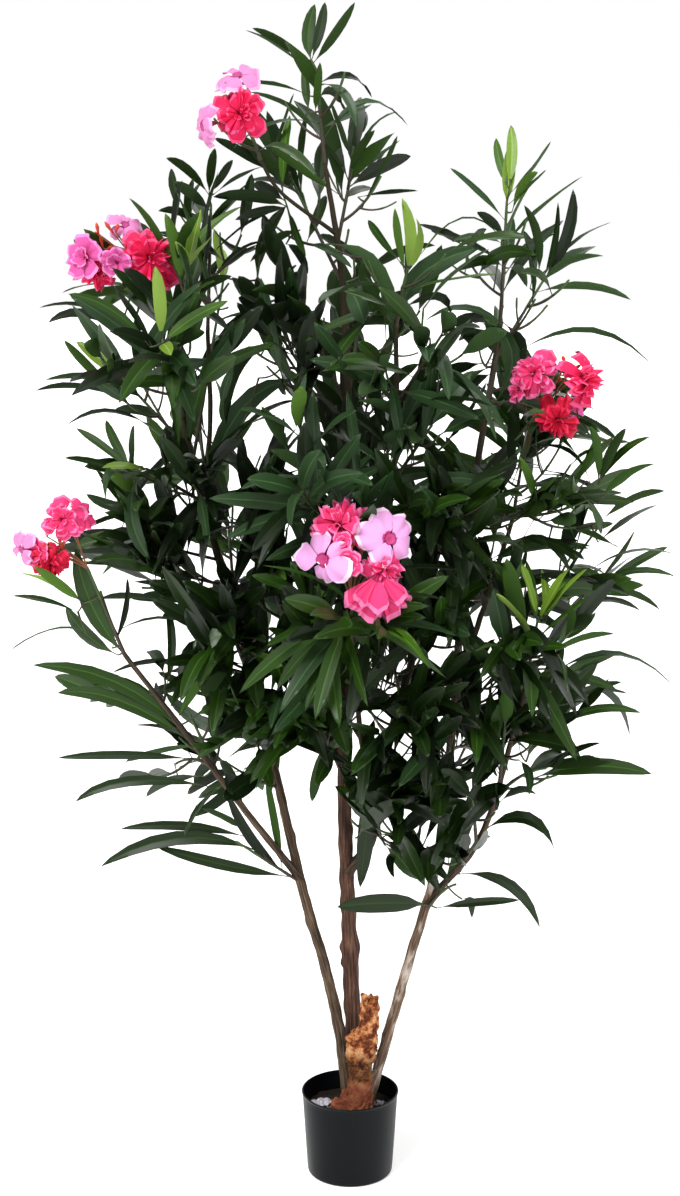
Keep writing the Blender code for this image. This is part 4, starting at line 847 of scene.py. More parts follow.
class Crown:
    """The limbs, twigs and leaves, grown one spray after another."""

    def __init__(self, size):
        self.size = size
        self.limbs = {}
        for name, (first, last, bends) in STEMS.items():
            path = smooth(bends, 40)
            self.limbs[name] = (path, taper(len(path), first, last))
        for name, (carrier, height, first, last, bends) in BOUGHS.items():
            line = self.limbs[carrier][0]
            start, _ = place_on(line, height_on(line, height))
            path = smooth((start, *bends), 30)
            self.limbs[name] = (path, taper(len(path), first, last))
        self.mains = {}
        self.order = {name: k for k, name in enumerate(SPRAYS)}
        for name, (carrier, height, tip, bow, *_) in SPRAYS.items():
            self.mains[name] = self.main_twig(carrier, height, np.array(tip), bow)
        self.fillers = {name: [] for name in SPRAYS}
        for name, rows in FILLERS.items():
            for carrier, height, tip, bow, count in rows:
                self.fillers[name].append((self.main_twig(carrier, height, seen(*tip), bow), count))
        keepers = [(self.order[name], path) for name, path in self.mains.items()]
        keepers += [(self.order[name], path) for name, rows in self.fillers.items() for path, _ in rows]
        self.spaces = Runs([path[::3] for _, path in keepers])
        self.keeper = np.array([keeper for keeper, _ in keepers])[self.spaces.owner]
        limbs = [(path[::6], radii[::6]) for path, radii in self.limbs.values()]
        self.bark = Runs([path for path, _ in limbs], [radii for _, radii in limbs])
        sights = []
        for _, blooms in CLUSTERS.values():
            for place, *_ in blooms:
                face = seen(*place)
                sights.append(np.array((face, face + unit(EYE - face) * SIGHT)))
        for name, rows in PLACED.items():
            away = SPRAYS[name][2][1] - LEAF_SIGHT
            for row in rows:
                if row[7] != "young":
                    continue
                for share in YOUNG_SIGHTS:
                    right, down = (row[k] + share * (row[k + 4] - row[k]) for k in (0, 1))
                    start = seen(right, down, away)
                    sights.append(np.array((start, start + unit(EYE - start) * SIGHT)))
        self.sights = Runs(sights)
        self.low = np.array(CAD_BOX[0]) - BOX_MARGIN
        self.high = np.array(CAD_BOX[1]) + BOX_MARGIN
        self.twigs = {}
        self.leaves = {}
        for name in SPRAYS:
            self.twigs[name] = self.grow_twigs(name)
            placed = self.place_leaves(name)
            self.leaves[name] = placed + self.grow_leaves(name, placed)

    def main_twig(self, carrier, height, tip, bow):
        """A spray's own twig, from the limb or twig that carries it to the spray's tip."""
        line = self.limbs[carrier][0] if carrier in self.limbs else self.mains[carrier]
        start = line[-1] if height is TIP else place_on(line, height_on(line, height))[0]
        return arch(start, (start + tip) / 2.0 + UP * bow, tip, 12)

    def has_room(self, name, points, overlap=0.0):
        """Whether points lie in the spray's own space, inside the box, and clear of limbs and blooms."""
        if (points < self.low).any() or (points > self.high).any():
            return False
        gaps = self.spaces.gaps(points)
        own = self.keeper == self.order[name]
        if (gaps[:, own].min(axis=1) - overlap > gaps[:, ~own].min(axis=1)).any():
            return False
        if self.bark.gaps(points).min() < LIMB_CLEARANCE:
            return False
        return self.sights.gaps(points).min() > SIGHT_RADIUS

    def fork(self, name, parent, share, turn, reach):
        """A twig that leaves its parent at this share and turn, and bends upward over this reach."""
        start, ahead = place_on(parent, share)
        out = across(ahead, turn)
        middle = start + reach * (FORK_MIDDLE[0] * ahead + FORK_MIDDLE[1] * out)
        end = start + reach * (FORK_END[0] * ahead + FORK_END[1] * out + FORK_END[2] * UP)
        twig = arch(start, middle, end, 8)
        for shorter in SHORTER:
            path = twig[0] + (twig - twig[0]) * shorter
            if self.has_room(name, path[4:]):
                return path
        return None

    def grow_twigs(self, name):
        """The spray's twigs: its own, its side twigs at golden turns, and a fork on each long one."""
        twigs = []
        spines = [(self.mains[name], SPRAYS[name][4]), *self.fillers[name]]
        for stem, (spine, count) in enumerate(spines):
            twigs.append((FILLER_NUMBER * stem, spine, MAIN_RADIUS))
            for side in range(count):
                number = FILLER_NUMBER * stem + 1 + side
                draw = random.Random(f"{name} side {number}")
                share = SIDE_FIRST + (SIDE_LAST - SIDE_FIRST) * (side + 0.8 * draw.random()) / count
                turn = side * GOLDEN_TURN + draw.uniform(-FORK_DRIFT, FORK_DRIFT)
                fall = FORK_FALL[0] - FORK_FALL[1] * share
                reach = max(SIDE_SHORTEST, length_of(spine) * SIDE_LENGTH * fall)
                path = self.fork(name, spine, share, turn, reach * draw.uniform(*FORK_VARIES))
                if path is None:
                    continue
                twigs.append((number, path, SIDE_RADIUS))
                if length_of(path) < TWIGLET_LEAST:
                    continue
                share = draw.uniform(*TWIGLET_SHARE)
                turn = draw.uniform(0.0, TURN)
                reach = length_of(path) * TWIGLET_LENGTH * draw.uniform(*FORK_VARIES)
                twiglet = self.fork(name, path, share, turn, reach)
                if twiglet is not None:
                    twigs.append((number + TWIGLET_NUMBER, twiglet, TWIGLET_RADIUS))
        return twigs

    def place_leaves(self, name):
        """The listed leaves: each stands on the nearest twig, on a thin twig of its own if far."""
        carriers = [path for _, path, _ in self.twigs[name]]
        height = SPRAYS[name][1]
        if height is not TIP:
            carriers.append(self.limbs[SPRAYS[name][0]][0])
        lines = np.concatenate([resample(path, 60) for path in carriers])
        found = []
        for row in PLACED.get(name, ()):
            flat = on_view(lines)
            gaps = np.linalg.norm(flat - row[:2], axis=1)
            near = lines[gaps.argmin()]
            if gaps.min() > FOOT_REACH:
                foot = seen(*row[:2], near[1])
                middle = (near + foot) / 2.0 - UP * HANG_THROUGH * np.linalg.norm(foot - near)
                path = arch(near, middle, foot, 8)
                self.twigs[name].append((PLACED_NUMBER, path, TWIGLET_RADIUS))
                lines = np.concatenate((lines, resample(path, 12)))
                near = foot
            found.append(placed_leaf(near, row, random.Random(f"{name} {row}")))
        return found

    def grow_leaves(self, name, placed):
        """The leaves that find room: whorls of three, the topmost at each twig's tip."""
        feet = {0: self.mains[name][0][2]}
        for stem, (path, _) in enumerate(self.fillers[name]):
            feet[stem + 1] = min(feet[0], path[0][2])
        share = SPRAYS[name][6]
        draw = random.Random(f"kept in {name}")
        found = []
        taken = np.vstack((np.full((1, 3), 1e3), *(leaf.midrib(LEAF_MARKS[1:]) for leaf in placed)))
        for number, twig, _ in self.twigs[name]:
            if number == PLACED_NUMBER:
                continue
            nodes = max(2, round(length_of(twig) * (1.0 - BARE) / NODE_SPACING))
            first = 2 if name in CLUSTERS and number == 0 else 0
            foot = feet[number % TWIGLET_NUMBER // FILLER_NUMBER]
            for node in range(first, nodes + 1):
                for place in range(WHORL):
                    if draw.random() > share:
                        continue
                    for shorter, swing in LEAF_TRIES:
                        leaf = ruled_leaf(name, number, twig, nodes, node, place, shorter, swing,
                                          self.size)
                        points = leaf.midrib(LEAF_MARKS)
                        if points[:, 2].min() < foot - HANG:
                            continue
                        if not self.has_room(name, points, OVERLAP):
                            continue
                        if not in_outline(on_view(leaf.midrib(VIEW_MARKS))):
                            continue
                        if np.linalg.norm(points[1:, None] - taken, axis=2).min() < LEAF_APART:
                            continue
                        taken = np.vstack((taken, points[1:]))
                        found.append(leaf)
                        break
        return found


@functools.lru_cache(maxsize=1)
def grown(length, width, droop):
    """The crown for these leaf sizes, grown once and shared by the operators."""
    return Crown((length, width, droop))


def crown_of(context):
    """The crown that the leaf settings ask for."""
    leaf = context.scene.oleander_leaf
    return grown(leaf.length, leaf.width, leaf.droop)


def set_inputs(tree, node, inputs):
    """Links each input to the socket given for it, or sets it to the hex colour or the number."""
    for key, value in inputs.items():
        if isinstance(value, bpy.types.NodeSocket):
            tree.links.new(value, node.inputs[key])
        else:
            node.inputs[key].default_value = (*srgb(value), 1.0) if isinstance(value, str) else value


def add_node(owner, kind, inputs, output=0, stops=(), **settings):
    """Adds one node with its settings, colour stops and inputs, and returns the output asked for."""
    node = owner.node_tree.nodes.new(f"ShaderNode{kind}")
    for key, value in settings.items():
        setattr(node, key, value)
    elements = node.color_ramp.elements if stops else ()
    while len(elements) < len(stops):
        elements.new(1.0)
    for element, (place, colour) in zip(elements, stops):
        element.position = place
        element.color = (*srgb(colour), 1.0)
    set_inputs(owner.node_tree, node, inputs)
    return node.outputs[output]


def blank(name):
    """A new material, its Principled shader still at its defaults."""
    material = bpy.data.materials.new(name)
    material.use_nodes = True
    return material


def surfaced(material, **sockets):
    """Sets or links the sockets of a material's Principled shader, and returns the material."""
    tree = material.node_tree
    inputs = {key.replace("_", " "): value for key, value in sockets.items()}
    set_inputs(tree, tree.nodes["Principled BSDF"], inputs)
    return material


def wood_material(name, stops, pale, patch, stretch, relief):
    """Barked natural wood, dried and unvarnished: matt, with fine lengthwise fibres and worn patches.

    The fibres are noise in the limb's own straightened space, stretched along it: 1.5 mm across and
    40 mm long. The patches are noise of about 30 mm, drawn out along the limb, where the bark is
    rubbed down to the pale wood. Up in the crown the bark is younger, darker and olive.
    """
    wood = blank(name)
    rod = add_node(wood, "Attribute", {}, "Vector", attribute_name="grain")
    along = add_node(wood, "Mapping", {"Vector": rod, "Scale": (1.0, 1.0, 0.04)})
    fibre = add_node(wood, "TexNoise", {"Vector": along, "Scale": 420.0, "Detail": 4.0, "Roughness": 0.65})
    drawn = add_node(wood, "Mapping", {"Vector": rod, "Scale": (1.0, 1.0, stretch)})
    blotch = add_node(wood, "TexNoise", {"Vector": drawn, "Scale": 60.0, "Detail": 4.0, "Roughness": 0.6})
    both = add_node(wood, "Math", {0: blotch, 1: 0.45, 2: fibre}, operation="MULTIPLY_ADD")
    shifted = add_node(wood, "Math", {0: both, 1: 0.22}, operation="SUBTRACT")
    tone = add_node(wood, "ValToRGB", {"Fac": shifted}, stops=stops)
    worn = add_node(wood, "MapRange", {"Value": blotch, "From Min": patch[0], "From Max": patch[1]})
    colour = add_node(wood, "Mix", {0: worn, MIX_A: tone, MIX_B: pale}, MIX_RESULT, data_type="RGBA")
    place = add_node(wood, "TexCoord", {}, "Object")
    height = add_node(wood, "SeparateXYZ", {"Vector": place}, "Z")
    rise = add_node(wood, "MapRange", {"Value": height, "From Min": 0.62, "From Max": 1.05, "To Max": 0.88})
    young = add_node(wood, "Mix", {0: rise, MIX_A: colour, MIX_B: "#2B2817"}, MIX_RESULT, data_type="RGBA")
    bump = add_node(wood, "Bump", {"Height": fibre, "Strength": relief, "Distance": 0.0012})
    return surfaced(wood, Base_Color=young, Normal=bump, Roughness=0.82, IOR=1.5, Specular_IOR_Level=0.3)


def cork_material():
    """Bark of the cork oak, broken by hand: dry and crumbly, in tan, orange and red-brown patches.

    The patches are noise of about 14 mm, crumbs of 4 mm break them up, and pits of 6 mm are nearly
    black-brown. Toward the foot the bark is painted darker and olive as shade, and the lump below it is
    brick-coloured.
    """
    cork = blank("cork_bark_broken")
    place = add_node(cork, "TexCoord", {}, "Object")
    height = add_node(cork, "SeparateXYZ", {"Vector": place}, "Z")
    patches = add_node(cork, "TexNoise", {"Vector": place, "Scale": 72.0, "Detail": 3.0, "Roughness": 0.6})
    crumbs = add_node(cork, "TexNoise", {"Vector": place, "Scale": 260.0, "Detail": 4.0, "Roughness": 0.7})
    both = add_node(cork, "Math", {0: crumbs, 1: 0.35, 2: patches}, operation="MULTIPLY_ADD")
    colour = add_node(cork, "ValToRGB", {"Fac": both}, stops=(
        (0.50, "#30120A"), (0.60, "#68341A"), (0.68, "#965830"), (0.76, "#B87E50"), (0.90, "#D2A87C")))
    pits = add_node(cork, "TexVoronoi", {"Vector": place, "Scale": 150.0, "Randomness": 1.0})
    deep = add_node(cork, "Math", {0: pits, 1: patches}, operation="ADD")
    for value, start, end, most, tint, blend in (
        (deep, 0.80, 0.66, 0.85, "#54200E", "MIX"),
        # painted shade: toward the foot the bark is darkened to olive
        (height, 0.222, 0.190, 0.85, "#706C4C", "MULTIPLY"),
        (height, 0.166, 0.154, 0.5, "#94503A", "MIX"),
    ):
        share = add_node(cork, "MapRange", {"Value": value, "From Min": start, "From Max": end,
                                            "To Max": most})
        colour = add_node(cork, "Mix", {0: share, MIX_A: colour, MIX_B: tint}, MIX_RESULT,
                          data_type="RGBA", blend_type=blend)
    relief = add_node(cork, "Bump", {"Height": both, "Strength": 0.9, "Distance": 0.0025})
    return surfaced(cork, Base_Color=colour, Normal=relief, Roughness=0.93, IOR=1.45,
                    Specular_IOR_Level=0.3)


def cement_material():
    """Light cement mortar, trowelled in by hand: chalky greyish white in two heaps, and painted dark brown
    elsewhere as the shade inside the pot.

    A heap is where its noisy distance from MORTAR_HEAPS' centre is less than its reach; grit of 3 mm
    mottles it.
    """
    cement = blank("cement_mortar_rough")
    place = add_node(cement, "TexCoord", {}, "Object")
    grit = add_node(cement, "TexNoise", {"Vector": place, "Scale": 320.0, "Detail": 4.0, "Roughness": 0.7})
    tone = add_node(cement, "ValToRGB", {"Fac": grit}, stops=(
        (0.30, "#77727A"), (0.46, "#ABA6B0"), (0.60, "#CAC6CF"), (0.80, "#E4E1E8")))
    # painted shade: outside the heaps the filling is dark brown, as the shade inside the pot
    colour = add_node(cement, "ValToRGB", {"Fac": grit}, stops=(
        (0.35, "#120E0C"), (0.60, "#2A211B"), (0.80, "#4A3D33")))
    edge = add_node(cement, "TexNoise", {"Vector": place, "Scale": 90.0, "Detail": 3.0})
    for right, away, reach in MORTAR_HEAPS:
        apart = add_node(cement, "VectorMath", {0: place, 1: (right, away, FILL_TOP)}, "Value",
                         operation="DISTANCE")
        ragged = add_node(cement, "Math", {0: edge, 1: 0.030, 2: apart}, operation="MULTIPLY_ADD")
        heap = add_node(cement, "MapRange", {"Value": ragged, "From Min": reach + 0.017,
                                             "From Max": reach + 0.013})
        colour = add_node(cement, "Mix", {0: heap, MIX_A: colour, MIX_B: tone}, MIX_RESULT,
                          data_type="RGBA")
    relief = add_node(cement, "Bump", {"Height": grit, "Strength": 0.7, "Distance": 0.0012})
    return surfaced(cement, Base_Color=colour, Normal=relief, Roughness=0.95, IOR=1.5,
                    Specular_IOR_Level=0.2)


def pot_material(colour):
    """Polypropylene nursery pot, injection moulded: near-black with a soft gloss and faint flow marks."""
    plastic = blank("polypropylene_moulded")
    place = add_node(plastic, "TexCoord", {}, "Object")
    flow = add_node(plastic, "Mapping", {"Vector": place, "Scale": (1.0, 1.0, 0.15)})
    marks = add_node(plastic, "TexNoise", {"Vector": flow, "Scale": 40.0, "Detail": 3.0})
    gloss = add_node(plastic, "MapRange", {"Value": marks, "From Min": 0.3, "From Max": 0.7,
                                           "To Min": 0.30, "To Max": 0.44})
    lighter = (*(value * 1.5 + 0.001 for value in colour), 1.0)
    tint = add_node(plastic, "Mix", {0: marks, MIX_A: (*colour, 1.0), MIX_B: lighter}, MIX_RESULT,
                    data_type="RGBA")
    fine = add_node(plastic, "TexNoise", {"Vector": place, "Scale": 900.0, "Detail": 2.0})
    skin = add_node(plastic, "Bump", {"Height": fine, "Strength": 0.10, "Distance": 0.0003})
    return surfaced(plastic, Base_Color=tint, Roughness=gloss, Normal=skin, IOR=1.49,
                    Specular_IOR_Level=0.12)


def grid_quads(rows, columns, wrap):
    """The quads of a grid of points that is rows long, joined round its columns where wrap is set."""
    row = np.arange(rows - 1)[:, None] * columns
    column = np.arange(columns if wrap else columns - 1)
    after = (column + 1) % columns
    quads = np.stack((row + column, row + after, row + columns + after, row + columns + column), axis=2)
    return quads.reshape(-1, 4)


def capped_tube(rings, sides):
    """Faces of a tube of rings between two poles: the first point is one pole and the last the other."""
    quads = grid_quads(rings, sides, True) + 1
    k = np.arange(sides)
    after = (k + 1) % sides
    last = rings * sides + 1
    foot = np.stack((np.zeros(sides, int), 1 + after, 1 + k), axis=1)
    top = np.stack((np.full(sides, last), last - sides + k, last - sides + after), axis=1)
    return quads, np.vstack((foot, top))


def closed(rows, foot, pole, number=0):
    """A surface of rings of points between two poles: its points, and its faces with their material."""
    points = np.vstack((foot, np.reshape(rows, (-1, 3)), pole))
    return points, *((faces, number) for faces in capped_tube(*rows.shape[:2]))


def repeated(faces, copies, stride):
    """The same faces for each of many copies of a shape, whose points follow on by the stride."""
    offsets = np.arange(copies)[:, None, None] * stride
    return (faces[None] + offsets).reshape(-1, faces.shape[1])


class Parts:
    """Points and faces of many small shapes, gathered for one piece."""

    def __init__(self):
        self.points = []
        self.faces = []
        self.count = 0

    def add(self, points, *face_sets):
        """Adds a shape's points, and its faces with their material numbers."""
        points = np.asarray(points, float).reshape(-1, 3)
        self.points.append(points)
        self.faces += [(faces + self.count, numbers) for faces, numbers in face_sets]
        self.count += len(points)

    def piece(self, name, materials, angle=None):
        """The gathered shapes as one piece; where faces meet at more than the angle they shade crisply."""
        points = np.concatenate(self.points)
        corners = np.concatenate([faces.ravel() for faces, _ in self.faces])
        sizes = np.concatenate([np.full(len(faces), faces.shape[1]) for faces, _ in self.faces])
        numbers = np.concatenate([np.broadcast_to(number, len(faces)) for faces, number in self.faces])
        starts = np.concatenate(([0], np.cumsum(sizes)[:-1]))
        mesh = bpy.data.meshes.new(name)
        mesh.vertices.add(len(points))
        mesh.vertices.foreach_set("co", points.ravel())
        mesh.loops.add(len(corners))
        mesh.loops.foreach_set("vertex_index", corners.astype(np.int32))
        mesh.polygons.add(len(sizes))
        mesh.polygons.foreach_set("loop_start", starts.astype(np.int32))
        mesh.polygons.foreach_set("material_index", numbers.astype(np.int32))
        mesh.polygons.foreach_set("use_smooth", np.ones(len(sizes), bool))
        mesh.update(calc_edges=True)
        if mesh.validate():
            raise RuntimeError(f"{name} has faces that are not sound")
        for material in materials:
            mesh.materials.append(material)
        if angle is not None:
            mesh.set_sharp_from_angle(angle=math.radians(angle))
        piece = bpy.data.objects.new(name, mesh)
        bpy.context.scene.collection.objects.link(piece)
        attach(piece, BODY)
        return piece


def tubes(paths, radii, sides):
    """Many round tubes at once: a circle carried along each path, square to it, between two poles.

    A point is the path's point plus the radius times (side cos turn + other sin turn), where side is
    the path's own plane's normal, and other is at right angles to it and to the path.
    """
    ahead = unit(np.gradient(paths, axis=1))
    chord = unit(paths[:, -1] - paths[:, 0])
    bulge = paths[:, paths.shape[1] // 2] - paths[:, 0]
    plane = np.cross(chord, bulge)
    spare = np.cross(chord, np.where(np.abs(chord[:, 2:]) > 0.9, (0.0, 1.0, 0.0), (0.0, 0.0, 1.0)))
    flat = np.linalg.norm(plane, axis=1, keepdims=True) < 1e-4
    plane = unit(np.where(flat, spare, plane))[:, None]
    side = unit(plane - ahead * (plane * ahead).sum(axis=2, keepdims=True))
    other = np.cross(ahead, side)
    turns = np.arange(sides) * TURN / sides
    spoke = side[:, :, None] * np.cos(turns)[:, None] + other[:, :, None] * np.sin(turns)[:, None]
    rings = paths[:, :, None] + spoke * radii[:, :, None, None]
    foot = paths[:, :1] - ahead[:, :1] * radii[:, :1, None] * 0.5
    top = paths[:, -1:] + ahead[:, -1:] * radii[:, -1:, None] * 0.8
    return np.concatenate((foot, rings.reshape(len(paths), -1, 3), top), axis=1)


def round_turns(sides):
    """The angles of a ring's points, as one row."""
    return (np.arange(sides) * TURN / sides)[None]


def waves(turn, along, draw, count, turns, lengths):
    """A sum of waves of random phase that run round and along a limb, of about unit height."""
    total = np.zeros(np.broadcast(turn, along).shape)
    for _ in range(count):
        times = draw.randint(*turns)
        wave = draw.uniform(*lengths) * draw.choice((-1.0, 1.0))
        total = total + np.cos(times * turn + TURN * along / wave + draw.uniform(0.0, TURN))
    return total / math.sqrt(count)


def roughened(start, turn, along, draw, rows):
    """The start plus waves, row after row: their height, how many, their turns and their lengths."""
    for height, *row in rows:
        start = start + height * waves(turn, along, draw, *row)
    return start


# The bark's fibres, with many turns round and a long run along, and its lumps, with few and short.
BARK_WAVES = ((0.55, 9, (4, 13), (0.06, 0.40)), (0.75, 7, (1, 3), (0.025, 0.10)))


def limb_points(path, radii, sides, relief, knots, draw):
    """A limb's bark: a circle carried along the path, whose radius is shaped by ridges and knots.

    The radius is r (1 + relief (fibres + lumps)) plus a bell-shaped bump for every knot. Returns the
    points with their faces, and each point's place in the limb's straightened space.
    """
    marks = marks_on(path)[:, None]
    turn = round_turns(sides)
    ahead = unit(np.gradient(path, axis=0))
    side = unit(np.cross(ahead, (0.0, 1.0, 0.0)))
    other = np.cross(ahead, side)
    radius = radii[:, None] * (1.0 + relief * roughened(0.0, turn, marks, draw, BARK_WAVES))
    for height, azimuth, size, rise in knots:
        centre = np.interp(height, path[:, 2], marks[:, 0])
        turned = np.angle(np.exp(1j * (turn - math.radians(azimuth))))
        near = ((marks - centre) / size) ** 2 + (turned * radii[:, None] / size) ** 2
        radius = radius + rise * np.exp(-near)
    spoke = side[:, None] * np.cos(turn)[..., None] + other[:, None] * np.sin(turn)[..., None]
    rings = path[:, None] + spoke * radius[..., None]
    flat = np.stack((radii[:, None] * np.cos(turn), radii[:, None] * np.sin(turn),
                     np.broadcast_to(marks, radius.shape)), axis=2)
    rod = np.vstack(((0.0, 0.0, 0.0), flat.reshape(-1, 3), (0.0, 0.0, marks[-1, 0])))
    return closed(rings, path[:1], path[-1:] + ahead[-1:] * radii[-1] * 0.4), rod


# Knots and bulges of each limb: height, degrees round it, size, and how far it stands out.
KNOTS = {
    "stem_middle": ((0.364, 190.0, 0.015, 0.0045), (0.366, 10.0, 0.009, 0.0045),
                    (0.341, 20.0, 0.008, 0.0040), (0.300, 100.0, 0.012, 0.0020),
                    (0.250, 250.0, 0.010, 0.0022), (0.480, 60.0, 0.012, 0.0022),
                    (0.560, 200.0, 0.010, 0.0022), (0.160, 330.0, 0.014, 0.0022)),
    "stem_left": ((0.232, 120.0, 0.008, 0.0014), (0.410, 30.0, 0.009, 0.0018),
                  (0.545, 200.0, 0.009, 0.0016), (0.330, 280.0, 0.010, 0.0012)),
    "stem_right": ((0.385, 80.0, 0.008, 0.0016), (0.300, 200.0, 0.008, 0.0016),
                   (0.225, 330.0, 0.008, 0.0012)),
}

# How far a stem and a bough flare at the foot, against the radius, and over what length.
STEM_FLARE = (0.22, 0.020)
BOUGH_FLARE = (0.45, 0.014)
# Each limb's grain starts this much further along than the last one's, so that no two are alike.
GRAIN_STEP = 3.0


def limb_piece(name, crown, names, material, settings):
    """One piece of limbs: each limb's bark from its foot, sunk in what carries it, to its tip."""
    parts = Parts()
    rods = []
    for limb in names:
        path, radii = crown.limbs[limb]
        count = max(24, round(length_of(path) / settings.ring))
        marks = marks_on(path)
        even = np.linspace(0.0, marks[-1], count)
        flare, run = STEM_FLARE if limb in STEMS else BOUGH_FLARE
        radii = np.interp(even, marks, radii) * (1.0 + flare * np.exp(-even / run))
        sides = settings.sides if limb in STEMS else settings.sides * 2 // 3
        draw = random.Random(f"bark of {limb}")
        made, rod = limb_points(resample(path, count), radii, sides, settings.relief,
                                KNOTS.get(limb, ()), draw)
        parts.add(*made)
        rods.append(rod + (0.0, 0.0, GRAIN_STEP * len(rods)))
    piece = parts.piece(name, [material])
    grain = piece.data.attributes.new("grain", "FLOAT_VECTOR", "POINT")
    grain.data.foreach_set("vector", np.concatenate(rods).astype(np.float32).ravel())
    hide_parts(*names)


# A blade: how far its top bulges, how its edges ripple (height, waves along it, and the lag between
# the two edges), its thickness at least and against its half width, how far the rib stands out, and
# up to which share of its length the round stalk passes into the blade.
BULGE = 0.07
RIPPLE = 0.10
RIPPLE_WAVES = 1.6
RIPPLE_LAG = 0.17
BLADE_THICKNESS = (0.00035, 0.045)
RIB_UNDER = 0.0002
RIB_OVER = 0.00012
STALK_SHARE = 0.16
STALK_ROUND = 0.12
STALK_TURN = 2.2
LEAF_SUNK = 0.0006
EDGE_SPOTS = (0, 5)


def leaf_points(leaves):
    """Every leaf at once: a folded section carried along each midrib, twisted and rippled.

    The midrib is root + L (t ahead + t^2/2 sag). Across it, a point at v stands v w to the side and
    w (fold |v| + bulge sin(pi |v|)) up, where w is the half width at t; the edges also ripple up and
    down, and the section turns about the midrib by twist t. The last point lies under the rib.
    """
    t = np.array(LEAF_STATIONS)
    v = np.array(SECTION_ACROSS)
    root, ahead, sag, face = (np.array([getattr(leaf, key) for leaf in leaves])[:, None]
                              for key in ("root", "ahead", "sag", "face"))
    length = np.array([leaf.length for leaf in leaves])[:, None]
    width = np.array([leaf.width for leaf in leaves])[:, None] / 2.0 * np.array(LEAF_HALF)
    fold, twist, phase = (np.array([leaf.shape[k] for leaf in leaves])[:, None] for k in range(3))
    centre = root + length[..., None] * (t[:, None] * ahead + 0.5 * t[:, None] ** 2 * sag)
    along = unit(ahead + t[:, None] * sag)
    side = np.cross(face, ahead)
    side = unit(side - along * (side * along).sum(axis=2, keepdims=True))
    above = np.cross(along, side)
    turn = (twist * t * t)[..., None]
    side, above = side * np.cos(turn) + above * np.sin(turn), above * np.cos(turn) - side * np.sin(turn)
    w = width[..., None]
    lift = w * (fold[..., None] * np.abs(v) + BULGE * np.sin(np.pi * np.abs(v)))
    wave = np.sin(TURN * (RIPPLE_WAVES * t[:, None] + RIPPLE_LAG * np.sign(v)) + phase[..., None])
    lift = lift + RIPPLE * w * wave * v * v * np.minimum(1.0, 3.0 * t)[:, None]
    thinnest, share = BLADE_THICKNESS
    lift[..., -1:] = -np.maximum(thinnest, share * w) - RIB_UNDER
    lift[..., 2:4] += RIB_OVER
    stalk = np.minimum(t / STALK_SHARE, 1.0)[:, None]
    lift = lift * stalk + (1.0 - stalk) * w * np.cos(np.linspace(-STALK_TURN, STALK_TURN, len(v)))
    lift[..., -1] = np.where(t < STALK_ROUND, -width, lift[..., -1])
    points = centre[:, :, None] + side[:, :, None] * (v * w)[..., None] + above[:, :, None] * lift[..., None]
    tip = root + length[..., None] * (ahead + 0.5 * sag)
    foot = root - ahead * LEAF_SUNK
    return np.concatenate((foot, points.reshape(len(leaves), -1, 3), tip), axis=1)


def leaf_piece(name, crown, names, tones, stalk):
    """The leaves of some sprays as one piece: every tone has a blade, rib and underside of its own."""
    leaves = [leaf for spray in names for leaf in crown.leaves[spray]]
    rings, sides = len(LEAF_STATIONS), len(SECTION_ACROSS)
    quads, fans = capped_tube(rings, sides)
    stride = rings * sides + 2
    used = sorted({leaf.tone for leaf in leaves}, key=list(tones).index)
    materials = [material for tone in used for material in tones[tone]] + [stalk]
    first = np.array([len(LEAF_COATS) * used.index(leaf.tone) for leaf in leaves])[:, None]
    numbers = first + np.tile(SECTION_PART, rings - 1)
    numbers[:, :STALK_FACES * sides] = len(materials) - 1
    ends = np.full((len(leaves), sides), len(materials) - 1)
    fan_numbers = np.hstack((ends, first + SECTION_PART))
    parts = Parts()
    parts.add(leaf_points(leaves), (repeated(quads, len(leaves), stride), numbers.ravel()),
              (repeated(fans, len(leaves), stride), fan_numbers.ravel()))
    piece = parts.piece(name, materials)
    sharpen_edges(piece.data, stride, sides)
    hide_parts(*names)


def sharpen_edges(mesh, stride, sides):
    """Marks the two long edges of every leaf sharp, so that its top and underside shade apart."""
    ends = np.empty(len(mesh.edges) * 2, np.int32)
    mesh.edges.foreach_get("vertices", ends)
    local = ends.reshape(-1, 2) % stride
    spot = (local - 1) % sides
    inner = (local > 0) & (local < stride - 1)
    border = inner.all(axis=1) & (spot[:, 0] == spot[:, 1]) & np.isin(spot[:, 0], EDGE_SPOTS)
    sharp = mesh.attributes.new("sharp_edge", "BOOLEAN", "EDGE")
    sharp.data.foreach_set("value", border)


# Twigs: rings along one and points round it, how far a node swells, and the shares of its length at
# which the brown turns olive and the olive green. A twig's foot is brown and its tip green.
TWIG_RINGS = 26
STALK_SIDES = 6
NODE_SWELLING = 0.16
TWIG_TONES = (0.25, 0.62)
BROWN, GREEN = 0, 2


def twig_piece(name, crown, names, materials):
    """The twigs of some sprays: thin tubes with a slight swelling at each whorl, green near the tip."""
    rings, sides = TWIG_RINGS, STALK_SIDES
    rows = [twig for spray in names for twig in crown.twigs[spray]]
    paths = np.array([resample(path, rings) for _, path, _ in rows])
    radii = np.array([taper(rings, *radius) for _, _, radius in rows])
    marks = np.array([np.linspace(0.0, length_of(path), rings) for _, path, _ in rows])
    radii = radii * (1.0 + NODE_SWELLING * np.maximum(0.0, np.cos(TURN * marks / NODE_SPACING)) ** 3)
    quads, fans = capped_tube(rings, sides)
    stride = rings * sides + 2
    share = np.repeat(np.arange(rings - 1) / (rings - 1), sides)
    tones = np.digitize(share, TWIG_TONES, right=True)
    parts = Parts()
    parts.add(tubes(paths, radii, sides), (repeated(quads, len(rows), stride), np.tile(tones, len(rows))),
              (repeated(fans, len(rows), stride),
               np.tile(np.repeat((BROWN, GREEN), sides), len(rows))))
    piece = parts.piece(name, materials)
    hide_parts(*names)


